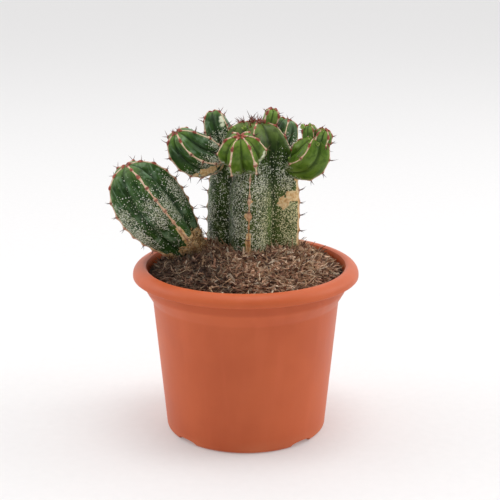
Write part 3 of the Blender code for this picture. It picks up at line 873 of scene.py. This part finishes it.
def build_margins(grown, material):
    """Closed horny strips along the crests, which widen into a shield at each eye."""
    heap, shoot = Heap(), grown.shoot
    turn = np.linspace(0, 2 * pi, MARGIN_SIDES, endpoint=False)
    size = shoot.get("horn", min(1.0, 0.62 + shoot["radius"] / 40))
    length = np.linalg.norm(np.subtract(shoot["tip"], shoot["base"]))
    for k, crest in enumerate(grown.crests):
        eye = np.exp(-((crest.to_tip[:, None] - crest.eyes[None]) / SHIELD_REACH) ** 2).max(1)
        path, out, side, t, eye = (values[MARGIN_START:] for values in (
            crest.path, crest.out, crest.side, grown.t, eye))
        waver = rumple(path, 4.0, 10 + k)
        old = smoothstep(0.75, 0.35, t) * shoot["aged"]
        width, height = (
            size * ((plain + wavy * waver) * (1 - loss * old) + shield * eye)
            for (plain, wavy, shield), loss in ((MARGIN_WIDTH, 0.25), (MARGIN_HEIGHT, 0.35)))
        for number, place, extra in KNOBS.get(grown.name, ()):
            if number == k:
                knob = extra * np.exp(-((t - place) * length / KNOB_REACH) ** 2)
                width, height = width + knob, height + 0.8 * knob
        taper = smoothstep(0, 4, np.arange(len(path)))
        width, height = width * taper + MARGIN_END, height * taper + MARGIN_END
        middle = path - out * MARGIN_SINK + side * (0.25 * waver)[:, None]
        rings = middle[:, None] \
            + out[:, None] * (np.cos(turn)[None] * height[:, None])[..., None] \
            + side[:, None] * (np.sin(turn)[None] * width[:, None])[..., None]
        young = smoothstep(shoot["young"] - 0.12, 1.0, t)
        horn = np.repeat(np.stack([eye, young, old, np.ones(len(path))], -1), MARGIN_SIDES, axis=0)
        heap.add(tube_points(rings, middle[0], middle[-1] + 0.1 * crest.tangent[-1]),
                 tube_faces(len(path), MARGIN_SIDES),
                 horn=np.concatenate([horn, horn[:1], horn[-1:]]))
    return heap.piece(grown.name + "_margins", material, shoot["slot"])


def add_spine(heap, root, direction, bend, length, thickness, fresh, tone):
    """Adds a closed, slightly curved thorn to the heap."""
    s = np.linspace(0, 1, SPINE_RINGS + 1)[:-1]
    side = unit(np.cross(direction, bend))
    other = np.cross(direction, side)
    path = root + direction * (s * length)[:, None] \
        + bend * (s ** 2 * length * SPINE_BEND)[:, None]
    turn = np.linspace(0, 2 * pi, SPINE_SIDES, endpoint=False)
    rough = thickness * (1 - s) ** 0.85
    rings = path[:, None] + (side * np.cos(turn)[:, None] + other * np.sin(turn)[:, None])[None] \
        * rough[:, None, None]
    point = root + direction * length + bend * length * SPINE_BEND
    along = np.concatenate([np.repeat(s, SPINE_SIDES), [0.0, 1.0]])
    heap.add(tube_points(rings, root - direction * 0.1, point), tube_faces(SPINE_RINGS, SPINE_SIDES),
             spine=body_values(along, fresh, tone))


def body_values(along, *values):
    """Colour rows for a body's points: how far along it they are, then values of the whole."""
    rows = [along] + [np.full_like(along, value) for value in values]
    return np.stack(rows + [np.zeros_like(along)] * (3 - len(rows)) + [np.ones_like(along)], -1)


def build_spines(grown, trees, material, draw):
    """A pair of spines at every eye that is out in the open, and the crown's tufts."""
    heap, shoot = Heap(), grown.shoot
    for crest in grown.crests:
        for eye in crest.eyes:
            row = int(np.argmin(np.abs(crest.to_tip - eye)))
            fresh = float(smoothstep(11, 2, eye) if shoot["radius"] > 8 else smoothstep(7, 0, eye))
            lean, length = draw.uniform(*SPINE_LEAN, 2), draw.uniform(*SPINE_VARIETY, 2)
            skip, tones, tilt = draw.random(), draw.random(2), draw.uniform(*SPINE_TILT)
            root = crest.path[row] + crest.out[row] * 0.15
            if hidden_in(root, trees, grown.name) or grown.t[row] < LOWEST_SPINE:
                continue
            if skip < shoot["bald" if eye < BALD_REACH else "lost"]:
                continue
            for sign, angle, long, tone in zip((-1, 1), lean, length, tones):
                out = crest.out[row] * cos(radians(angle)) \
                    + crest.side[row] * sign * sin(radians(angle))
                out = unit(out + crest.tangent[row] * tilt)
                size = 1.15 * shoot["spine"] * long * (0.55 + 0.45 * min(1, eye / 9))
                add_spine(heap, root, out, crest.tangent[row], size,
                          0.13 + 0.034 * shoot["spine"], fresh, tone)
    heart = grown.tip + TUFT_HEART * unit(grown.centre[0] - grown.tip)
    for place, direction, spines in TUFTS.get(grown.name, ()):
        root = grown.skin[nearest_cell(grown, place, direction)]
        out = unit(root - heart)
        for _ in range(spines):
            lean = unit(out + draw.normal(0, TUFT_SPREAD, 3))
            across = unit(np.cross(lean, np.array((0.3, 0.2, 0.9))))
            add_spine(heap, root, lean, across, draw.uniform(*TUFT_SPINES), TUFT_THICKNESS,
                      draw.uniform(0.7, 1.0), draw.random())
    return heap.piece(grown.name + "_spines", material, shoot["slot"])


def leaf_body(root, direction, across, length):
    """A closed, pointed scale leaf that curls inward, and how far along it each point is."""
    turn = np.linspace(0, 2 * pi, LEAF_SIDES, endpoint=False)
    s = np.linspace(0, 1, LEAF_RINGS + 1)[:-1]
    inward = np.cross(across, direction)
    path = root + direction * (s * length)[:, None] \
        + inward * (LEAF_CURL * length * s ** 2)[:, None]
    width = length * LEAF_WIDTH * np.sin(pi * (0.20 + 0.80 * s) ** 0.9)
    thick = 0.30 * width + 0.06
    rings = path[:, None] + across * (np.cos(turn) * width[:, None])[..., None] \
        + inward * (np.sin(turn) * thick[:, None])[..., None]
    tip = root + direction * length + inward * LEAF_CURL * length
    along = np.concatenate([np.repeat(s, LEAF_SIDES), [0, 1]])
    return tube_points(rings, root - direction * 0.15, tip), along


def leaf_paint():
    """Scale leaves: fresh yellow-green, paler at the edge, reddish at the point."""
    paint = Paint("scale_leaf")
    along, tone, _ = paint.split(paint.attribute("leaf", "Color"))
    veins = paint.noise(paint.place(), 0.7, 3.0)
    colour = paint.mix(tone, srgb(118, 160, 62), srgb(166, 194, 98))
    colour = paint.mix(paint.span(veins, 0.4, 0.7, 0.0, 0.5), colour, srgb(188, 210, 128))
    paint.set("Base Color", paint.mix(paint.span(along, 0.72, 1.0, 0.0, 0.8), colour,
                                      srgb(160, 92, 62)))
    paint.set("Roughness", paint.span(veins, 0.3, 0.7, 0.40, 0.55))
    paint.set("Normal", paint.bump(veins, 0.2, 0.6))
    return paint.material


def build_buds(shoots, draw):
    """Tufts of scale leaves at the growing points and where new shoots break."""
    heap = Heap()
    for grown in shoots:
        for place, direction, length, count in BUDS.get(grown.name, ()):
            row, column = nearest_cell(grown, place, direction)
            root = grown.skin[row, column]
            out = unit(root - grown.centre[max(row - 12, 0)])
            one = unit(np.cross(out, SLANT))
            two = np.cross(out, one)
            for i in range(count):
                angle = 2 * pi * (i + 0.5 * draw.random()) / count
                aside = one * cos(angle) + two * sin(angle)
                lean = draw.uniform(0.35, 0.95)
                points, along = leaf_body(root + aside * 0.3 - out * 0.3, unit(out + aside * lean),
                                          np.cross(aside, out), length * draw.uniform(0.7, 1.1))
                heap.add(points, tube_faces(LEAF_RINGS, LEAF_SIDES),
                         leaf=body_values(along, draw.random()))
    return heap.piece("scale_leaves", leaf_paint(), "pup_skin")


def build_plant():
    """All the shoots. Gives their search trees and the shoots themselves."""
    paints = {
        "old_skin": skin_paint("old_skin", srgb(28, 48, 14), srgb(56, 82, 24),
                               srgb(118, 140, 66), srgb(108, 128, 66), (3.0, 24.0)),
        "dark_skin": skin_paint("dark_skin", srgb(32, 60, 22), srgb(58, 92, 36),
                                srgb(106, 138, 60), srgb(136, 166, 132)),
        "bright_skin": skin_paint("bright_skin", srgb(62, 92, 21), srgb(99, 129, 43),
                                  srgb(128, 154, 58), srgb(126, 150, 72)),
        "pup_skin": skin_paint("pup_skin", srgb(52, 84, 24), srgb(88, 124, 44),
                               srgb(140, 170, 80), srgb(140, 168, 104)),
    }
    margin, spine = margin_paint(), spine_paint()
    shoots = [grow(name, np.random.default_rng(SHOOT_SEED + i)) for i, name in enumerate(SHOOTS)]
    trees = {}
    for grown in shoots:
        count, around = grown.skin.shape[:2]
        points = tube_points(grown.skin, grown.centre[0], grown.tip)
        trees[grown.name] = BVHTree.FromPolygons(points.tolist(), tube_faces(count, around))
    for i, grown in enumerate(shoots):
        check_fit(grown)
        build_skin(grown, paints[grown.shoot["slot"]])
        build_margins(grown, margin)
        build_spines(grown, trees, spine, np.random.default_rng(SPINE_SEED + i))
    build_buds(shoots, np.random.default_rng(BUD_SEED))
    return trees, shoots


# ---------------------------------------------------------------- pot

def arc(centre, radius, start, end, steps):
    """Points (r, z) along an ellipse's arc, angles in degrees from the outward direction."""
    angles = np.radians(np.linspace(start, end, steps + 1))
    return [(centre[0] + radius[0] * cos(a), centre[1] + radius[1] * sin(a)) for a in angles]


def eased(corners, steps=5, rounding=0.45):
    """A section with each inner corner rounded off, by a curve of that size in millimetres."""
    corners = [np.array(corner, float) for corner in corners]
    section = [tuple(corners[0])]
    for before, here, after in zip(corners, corners[1:], corners[2:]):
        reach = min(rounding, np.linalg.norm(before - here) / 2, np.linalg.norm(after - here) / 2)
        start, end = here + unit(before - here) * reach, here + unit(after - here) * reach
        for s in np.linspace(0, 1, steps):
            section.append(tuple(start * (1 - s) ** 2 + here * 2 * s * (1 - s) + end * s ** 2))
    return section + [tuple(corners[-1])]


def pot_section(rim_radius, rim_top):
    """The pot's whole section, (r, z), up the outside, round the rolled rim and down the inside."""
    foot = arc((WALL_FOOT_RADIUS - FOOT_CORNER, FOOT_CORNER), (FOOT_CORNER,) * 2, -90, 0, 8)
    outside = eased([foot[-1], (WALL_TOP_RADIUS, WALL_TOP), (COLLAR_RADIUS, COLLAR_HEIGHT),
                     (COLLAR_RADIUS, COLLAR_TOP)], 6, 1.0)
    roll_centre = (RIM_INNER_RADIUS, rim_top - RIM_WIDEST_BELOW_TOP)
    roll = (rim_radius - RIM_INNER_RADIUS, RIM_WIDEST_BELOW_TOP)
    under = (roll[0] - LIP_THICKNESS, roll[1] - LIP_THICKNESS)
    lip, lip_inner = rim_top - LIP_BELOW_TOP, rim_radius - LIP_THICKNESS
    rim = arc(roll_centre, under, UNDERCUT_START, 0, 8)
    rim += eased([(lip_inner, lip + LIP_ROUND), (lip_inner + LIP_ROUND, lip),
                  (rim_radius - LIP_ROUND, lip), (rim_radius, lip + LIP_ROUND)], 3, 0.2)
    rim += arc(roll_centre, roll, 0, 90, 20)
    inside = eased([(RIM_INNER_RADIUS - MOUTH_STEP[0], rim_top - MOUTH_STEP[1]),
                    (RIM_INNER_RADIUS - MOUTH_DROP[0], rim_top - MOUTH_DROP[1]),
                    (COLLAR_RADIUS - WALL, rim_top - MOUTH_DROP[1] - WALL),
                    (COLLAR_RADIUS - WALL, COLLAR_HEIGHT + COLLAR_STEP),
                    (WALL_TOP_RADIUS - WALL, WALL_TOP),
                    (WALL_FOOT_RADIUS - WALL, FLOOR + FOOT_CORNER)], 4, 0.6)
    inside += arc((WALL_FOOT_RADIUS - WALL - FOOT_CORNER, FLOOR + FOOT_CORNER),
                  (FOOT_CORNER,) * 2, 0, -90, 6)[1:]
    return foot[:-1] + outside + rim + inside


def cutter(name, points, faces):
    """A passing object for a boolean, with its faces turned outward."""
    mesh = bpy.data.meshes.new(name)
    mesh.from_pydata((np.asarray(points) * MM).tolist(), [], faces)
    maker = bmesh.new()
    maker.from_mesh(mesh)
    bmesh.ops.recalc_face_normals(maker, faces=maker.faces)
    maker.to_mesh(mesh)
    maker.free()
    item = bpy.data.objects.new(name, mesh)
    bpy.context.scene.collection.objects.link(item)
    return item


def arched_bar(width, height, floor, inner_end, outer_end, direction, steps=16):
    """A radial bar with an arched top and a round outer end, in one channel's direction."""
    angles = np.linspace(pi, 0, steps + 1)
    lift = CHANNEL_SHOULDER + (1 - CHANNEL_SHOULDER) * np.maximum(np.sin(angles), 0) ** 0.5
    across = np.concatenate([[-width / 2], width / 2 * np.cos(angles), [width / 2]])
    up = np.concatenate([[floor], floor + (height - floor) * lift, [floor]])
    along = np.array((cos(radians(direction)), sin(radians(direction)), 0))
    aside = np.array((-along[1], along[0], 0))
    far = np.sqrt(outer_end ** 2 - across ** 2)
    ends = [along * reach[:, None] + aside * across[:, None] + np.array((0, 0, 1)) * up[:, None]
            for reach in (np.full_like(across, inner_end), far)]
    count = len(across)
    sides = [(i, (i + 1) % count, (i + 1) % count + count, i + count) for i in range(count)]
    caps = [tuple(range(count)), tuple(range(count, 2 * count))]
    return np.concatenate(ends), sides + caps


def build_pot():
    """The pot, turned from its section, with the channels and drains cut as in the CAD."""
    _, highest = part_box("pot")
    section = pot_section(highest.x / MM, highest.z / MM)
    angles = np.linspace(0, 2 * pi, POT_SEGMENTS, endpoint=False)
    rings = np.array([[(r * cos(a), r * sin(a), z) for a in angles] for r, z in section])
    points = tube_points(rings, (0, 0, 0), (0, 0, FLOOR))
    pot = new_piece("pot_shell", points, tube_faces(len(section), POT_SEGMENTS), pot_paint())
    tools = []
    for i, direction in enumerate(CHANNEL_ANGLES):
        ridge = arched_bar(CHANNEL_WIDTH + 2 * CHANNEL_SKIN, CHANNEL_HEIGHT + CHANNEL_SKIN,
                           FLOOR / 2, CHANNEL_INNER_END - CHANNEL_SKIN,
                           WALL_FOOT_RADIUS - WALL / 2, direction)
        channel = arched_bar(CHANNEL_WIDTH, CHANNEL_HEIGHT, -1, CHANNEL_INNER_END,
                             CHANNEL_OUTER_END, direction)
        turn = np.linspace(0, 2 * pi, DRAIN_SEGMENTS, endpoint=False)
        place = DRAIN_PLACE * cos(radians(direction)), DRAIN_PLACE * sin(radians(direction))
        bore = np.array([[(place[0] + DRAIN_RADIUS * cos(a), place[1] + DRAIN_RADIUS * sin(a), z)
                          for a in turn] for z in (FLOOR / 2, CHANNEL_HEIGHT + 2)])
        drain = tube_points(bore, (*place, FLOOR / 2), (*place, CHANNEL_HEIGHT + 2))
        tools.append((cutter(f"ridge_{i}", *ridge), "UNION"))
        tools.append((cutter(f"channel_{i}", *channel), "DIFFERENCE"))
        tools.append((cutter(f"drain_{i}", drain, tube_faces(2, DRAIN_SEGMENTS)), "DIFFERENCE"))
    for tool, operation in tools:
        boolean = pot.modifiers.new(tool.name, "BOOLEAN")
        boolean.operation, boolean.solver, boolean.object = operation, "EXACT", tool
    bake_modifiers(pot)
    for tool, _ in tools:
        bpy.data.objects.remove(tool, do_unlink=True)
    pot.data.shade_smooth()
    pot.data.set_sharp_from_angle(angle=radians(SHARP_EDGE))
    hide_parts("pot")


def bake_modifiers(piece):
    """Turns a piece's evaluated mesh into its own."""
    evaluated = piece.evaluated_get(bpy.context.evaluated_depsgraph_get())
    mesh = bpy.data.meshes.new_from_object(evaluated)
    piece.modifiers.clear()
    piece.data = mesh


# ---------------------------------------------------------------- growing mix

def surface_tree(node):
    """A search tree of a CAD node's surface, in millimetres."""
    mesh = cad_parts[node].data
    points = [tuple(vertex.co / MM) for vertex in mesh.vertices]
    return BVHTree.FromPolygons(points, [tuple(face.vertices) for face in mesh.polygons])


def look_down(ground, x, y):
    """Where the growing mix is under x and y, and its normal."""
    return ground.ray_cast(Vector((x, y, SKY_HIGH)), Vector((0, 0, -1)))[:2]


def scatter_places(count, draw, reach, ground, trees):
    """Places on the growing mix, clear of the stems, as (x, y, height) rows."""
    places = []
    while len(places) < count:
        radius, turn = reach * draw.random() ** 0.5, draw.random() * 2 * pi
        x, y = radius * cos(turn), radius * sin(turn)
        hit, normal = look_down(ground, x, y)
        if hit is None or normal.z < STEEPEST:
            continue
        if hidden_in((x, y, hit.z + STEM_CLEARANCE), trees, None):
            continue
        places.append((x, y, hit.z))
    return np.array(places)


def chip_bodies(places, draw, lengths, widths, thicknesses, steep, segments=3, wave=0.0, lying=0):
    """Bent, tapered slabs, one at each place, as points and faces with their flow.

    steep is how far they tilt, lying takes that away again, and wave crinkles them.
    """
    count = len(places)
    length = draw.uniform(*lengths, count)
    width = draw.uniform(*widths, count) * np.minimum(1, length / lengths[1] + 0.4)
    thick = draw.uniform(*thicknesses, count)
    yaw, pitch = draw.uniform(0, 2 * pi, count), draw.normal(0, steep, count) * (1 - lying)
    roll = draw.normal(0, 0.5, count)
    along = np.stack([np.cos(yaw) * np.cos(pitch), np.sin(yaw) * np.cos(pitch), np.sin(pitch)], -1)
    flat = unit(np.cross(UP, along))
    up = np.cross(along, flat)
    side = flat * np.cos(roll)[:, None] + up * np.sin(roll)[:, None]
    top = np.cross(along, side)
    s = np.linspace(-1, 1, segments + 1)
    curl = draw.normal(0, 0.16, count)
    swerve = draw.normal(0, 0.14, count)
    swing, phase = draw.uniform(2.0, 5.0, count), draw.uniform(0, 2 * pi, count)
    rings = []
    for place in s:
        middle = places + along * (place * length / 2)[:, None]
        middle = middle + top * (curl * length * (place ** 2 - 0.4))[:, None]
        sway = swerve * place ** 2 + wave * np.sin(swing * place + phase)
        middle = middle + side * (sway * length)[:, None]
        slim = 1 - 0.55 * abs(place) ** 2 * draw.uniform(0.3, 1.2, count)
        for across, rise in ((-1, -0.8), (1, -1), (1, 0.8), (-1, 1)):
            ragged = draw.uniform(0.75, 1.2, count)
            rings.append(middle + side * (across * width / 2 * slim * ragged)[:, None]
                         + top * (rise * thick / 2 * slim * ragged)[:, None])
    points = np.stack(rings, 1)
    body = [(4 * k + i, 4 * k + (i + 1) % 4, 4 * k + 4 + (i + 1) % 4, 4 * k + 4 + i)
            for k in range(segments) for i in range(4)]
    last = 4 * segments
    body += [(3, 2, 1, 0), (last, last + 1, last + 2, last + 3)]
    body = np.array(body)
    faces = (body[None] + (np.arange(count) * points.shape[1])[:, None, None]).reshape(-1, 4)
    flow = np.zeros(points.shape)
    grain_start = draw.uniform(0, 400, count)
    flow[..., 1] = np.repeat(s, 4)[None] * length[:, None] / 2 + grain_start[:, None]
    flow[..., 0] = np.tile((-1, 1, 1, -1), segments + 1)[None] * width[:, None] / 2
    return points, faces, flow


def build_litter(name, places, draw, material, darkness, **sizes):
    """One piece of litter bodies, each in its own tone."""
    points, faces, flow = chip_bodies(places, draw, **sizes)
    count, each = points.shape[:2]
    tone = draw.random(count)
    # darkness becomes the chips' shade value, which darkens them as painted shade.
    chip = np.stack([tone, darkness, draw.random(count), np.ones(count)], -1)
    layers = {"flow": flow.reshape(-1, 3), "chip": np.repeat(chip, each, axis=0)}
    return new_piece(name, points.reshape(-1, 3), faces.tolist(), material,
                     layers, smooth=False)


def build_soil(trees, shoots):
    """Paints the growing mix and scatters its litter, the finer and darker layers first."""
    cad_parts["soil"].data.materials.clear()
    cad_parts["soil"].data.materials.append(soil_paint())
    ground = surface_tree("soil")
    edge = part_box("soil")[1].x / MM
    bark = chip_paint("bark_chip", (
        (0.0, 62, 36, 27), (0.24, 126, 82, 60), (0.50, 190, 138, 108),
        (0.80, 230, 190, 158), (1.0, 250, 232, 206)))
    coir = chip_paint("coir_fibre", (
        (0.0, 116, 78, 58), (0.35, 178, 132, 100), (0.72, 216, 178, 138),
        (1.0, 238, 218, 188)))
    layers = (
        ("crumbs", 3600, bark, -0.6, dict(lengths=(1.0, 2.6), widths=(0.6, 1.5),
                                          thicknesses=(0.4, 1.0), steep=0.5, segments=1)),
        ("bark_chips", 1500, bark, 0.5, dict(lengths=(3.5, 10.0), widths=(1.2, 3.0),
                                             thicknesses=(0.4, 1.0), steep=0.42)),
        ("bark_slivers", 2300, bark, 1.0, dict(lengths=(4.0, 11.0), widths=(0.5, 1.4),
                                               thicknesses=(0.3, 0.6), steep=0.45, segments=4,
                                               wave=0.05)),
        ("coir_fibres", 1700, coir, 1.4, dict(lengths=(5.0, 15.0), widths=(0.25, 0.6),
                                              thicknesses=(0.22, 0.4), steep=0.34, segments=7,
                                              wave=0.10)),
    )
    for i, (name, count, material, lift, sizes) in enumerate(layers):
        draw = np.random.default_rng(LITTER_SEED + i)
        longest = sizes["lengths"][1]
        places = scatter_places(count, draw, edge - 0.30 * longest, ground, trees)
        tide = rumple(places, 16, 30 + i) * 0.6 - places[:, 0] / edge
        shaded_side = smoothstep(0.12, 0.62, tide)
        depth = draw.random(count)
        hills = rumple(places, HILLS[1], 50)
        clumps = rumple(places, 6, 60 + i)
        places[:, 2] += lift + 1.5 * depth + HILLS[0] * hills * smoothstep(-0.2, 0.5, hills)
        out = np.hypot(places[:, 0], places[:, 1]) / edge
        places[:, 2] -= RIM_SINK * smoothstep(0.72, 1.0, out)
        # Painted shade: darker on the left and on chips that lie lower; random clumps are lighter.
        darkness = np.clip(0.85 * shaded_side + 0.7 * (1 - depth) ** 2 - 0.9 * clumps - 0.05, 0, 1)
        build_litter(name, places, draw, material, darkness,
                     lying=0.85 * smoothstep(0.70, 0.92, out), **sizes)
    build_foot_litter(coir, ground, trees)
    build_husk(shoots)


def build_husk(shoots):
    """Frayed fibres on the corky feet of the rooted stems."""
    draw = np.random.default_rng(HUSK_SEED)
    husk = chip_paint("husk_fibre", (
        (0.0, 150, 106, 62), (0.35, 206, 160, 104), (0.72, 230, 194, 140),
        (1.0, 248, 226, 184)))
    places = []
    for grown in shoots[:2]:
        foot = grown.t < HUSK_REACH
        corky = grown.skin[(grown.cork > 0.5) & foot[:, None]]
        around = corky[draw.integers(len(corky), size=HUSK_FIBRES)]
        out = unit(around - grown.centre[foot].mean(0))
        places.append(around + out * draw.uniform(0.0, 1.1, HUSK_FIBRES)[:, None])
    places = np.concatenate(places)
    places = places[places[:, 2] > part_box("pot")[1].z / MM - 2]
    build_litter("husk_fibres", places, draw, husk, draw.uniform(0.0, 0.9, len(places)) ** 2,
                 lengths=(1.4, 3.8), widths=(0.2, 0.55), thicknesses=(0.15, 0.3), steep=0.8,
                 segments=5, wave=0.12)


def build_foot_litter(coir, ground, trees):
    """Tan fibres and dead skin heaped where the stems leave the growing mix."""
    draw = np.random.default_rng(FOOT_SEED)
    places = []
    while len(places) < FOOT_FIBRES:
        middle, reach, rise = FOOT_HEAPS[int(draw.integers(len(FOOT_HEAPS)))]
        turn, radius = draw.uniform(0, 2 * pi), reach * draw.uniform(0.3, 1.0)
        x, y = middle[0] + radius * cos(turn), middle[1] + radius * sin(turn)
        hit, _ = look_down(ground, x, y)
        if hit is None or hidden_in((x, y, hit.z + STEM_CLEARANCE), trees, None):
            continue
        gap = min(tree.find_nearest(Vector((x, y, hit.z + 2)))[3] for tree in trees.values())
        if gap < FOOT_GAP:
            places.append((x, y, hit.z + 1.2 + draw.uniform(0, rise) * (1 - gap / FOOT_GAP)))
    places = np.array(places)
    # Litter to the left is darkened as painted shade.
    shaded_side = smoothstep(-20, -45, places[:, 0])
    build_litter("foot_litter", places, draw, coir, 0.6 * shaded_side, lengths=(3.0, 9.0),
                 widths=(0.25, 1.1), thicknesses=(0.2, 0.45), steep=0.6, segments=6, wave=0.10)


# ---------------------------------------------------------------- stage

def build_stage():
    """A plain pale floor."""
    paint = Paint("studio_floor")
    place = paint.place()
    mottle = paint.noise(place, 5.0, 4.0)
    paint.set("Base Color", paint.mix(mottle, srgb(210, 209, 209), srgb(216, 215, 215)))
    paint.set("Emission Color", srgb(250, 249, 249))
    paint.set("Emission Strength", 0.20)
    paint.set("Roughness", 0.9)
    paint.set("Specular IOR Level", 0.1)
    paint.set("Normal", paint.bump(mottle, 0.4, 0.3))
    mesh = bpy.data.meshes.new("floor")
    corners = [(x * FLOOR_HALF, y * FLOOR_HALF, 0) for x, y in ((-1, -1), (1, -1), (1, 1), (-1, 1))]
    mesh.from_pydata(corners, [], [(0, 1, 2, 3)])
    mesh.materials.append(paint.material)
    floor = bpy.data.objects.new("floor", mesh)
    bpy.context.scene.collection.objects.link(floor)


def add_light(name, place, size, power):
    light = bpy.data.lights.new(name, "AREA")
    light.shape, light.size, light.size_y, light.energy = "RECTANGLE", size, size, power
    item = bpy.data.objects.new(name, light)
    item.location = place
    item.rotation_euler = (Vector(LIGHT_AIM) - Vector(place)).to_track_quat("-Z", "Y").to_euler()
    bpy.context.scene.collection.objects.link(item)


def light_scene():
    """A white room that is brighter behind the object, and three softboxes."""
    world = bpy.data.worlds.new("studio")
    bpy.context.scene.world = world
    world.use_nodes = True
    nodes, links = world.node_tree.nodes, world.node_tree.links
    sky = nodes["Background"]
    sky.inputs["Color"].default_value = srgb(247, 247, 247)
    direction = nodes.new("ShaderNodeSeparateXYZ")
    links.new(nodes.new("ShaderNodeTexCoord").outputs["Generated"], direction.inputs[0])
    fade = nodes.new("ShaderNodeMapRange")
    fade.interpolation_type = "SMOOTHSTEP"
    for socket, value in zip(("From Min", "From Max", "To Min", "To Max"), SKY_FADE):
        fade.inputs[socket].default_value = value
    links.new(direction.outputs["Y"], fade.inputs["Value"])
    links.new(fade.outputs["Result"], sky.inputs["Strength"])
    for name, (place, size, power) in SOFTBOXES.items():
        add_light(name, place, size, power)
    bpy.context.scene.view_settings.view_transform = "Standard"


def add_camera():
    camera = bpy.data.cameras.new("camera")
    camera.sensor_width, camera.lens = 36.0, CAMERA_LENS
    camera.clip_start, camera.clip_end = 0.01, 60.0
    item = bpy.data.objects.new("camera", camera)
    item.location = [value * MM for value in CAMERA_PLACE]
    item.rotation_euler = (radians(90 - CAMERA_DIP), 0, 0)
    bpy.context.scene.collection.objects.link(item)
    bpy.context.scene.camera = item


def main():
    build_pot()
    trees, shoots = build_plant()
    build_soil(trees, shoots)
    build_stage()
    light_scene()
    add_camera()


main()
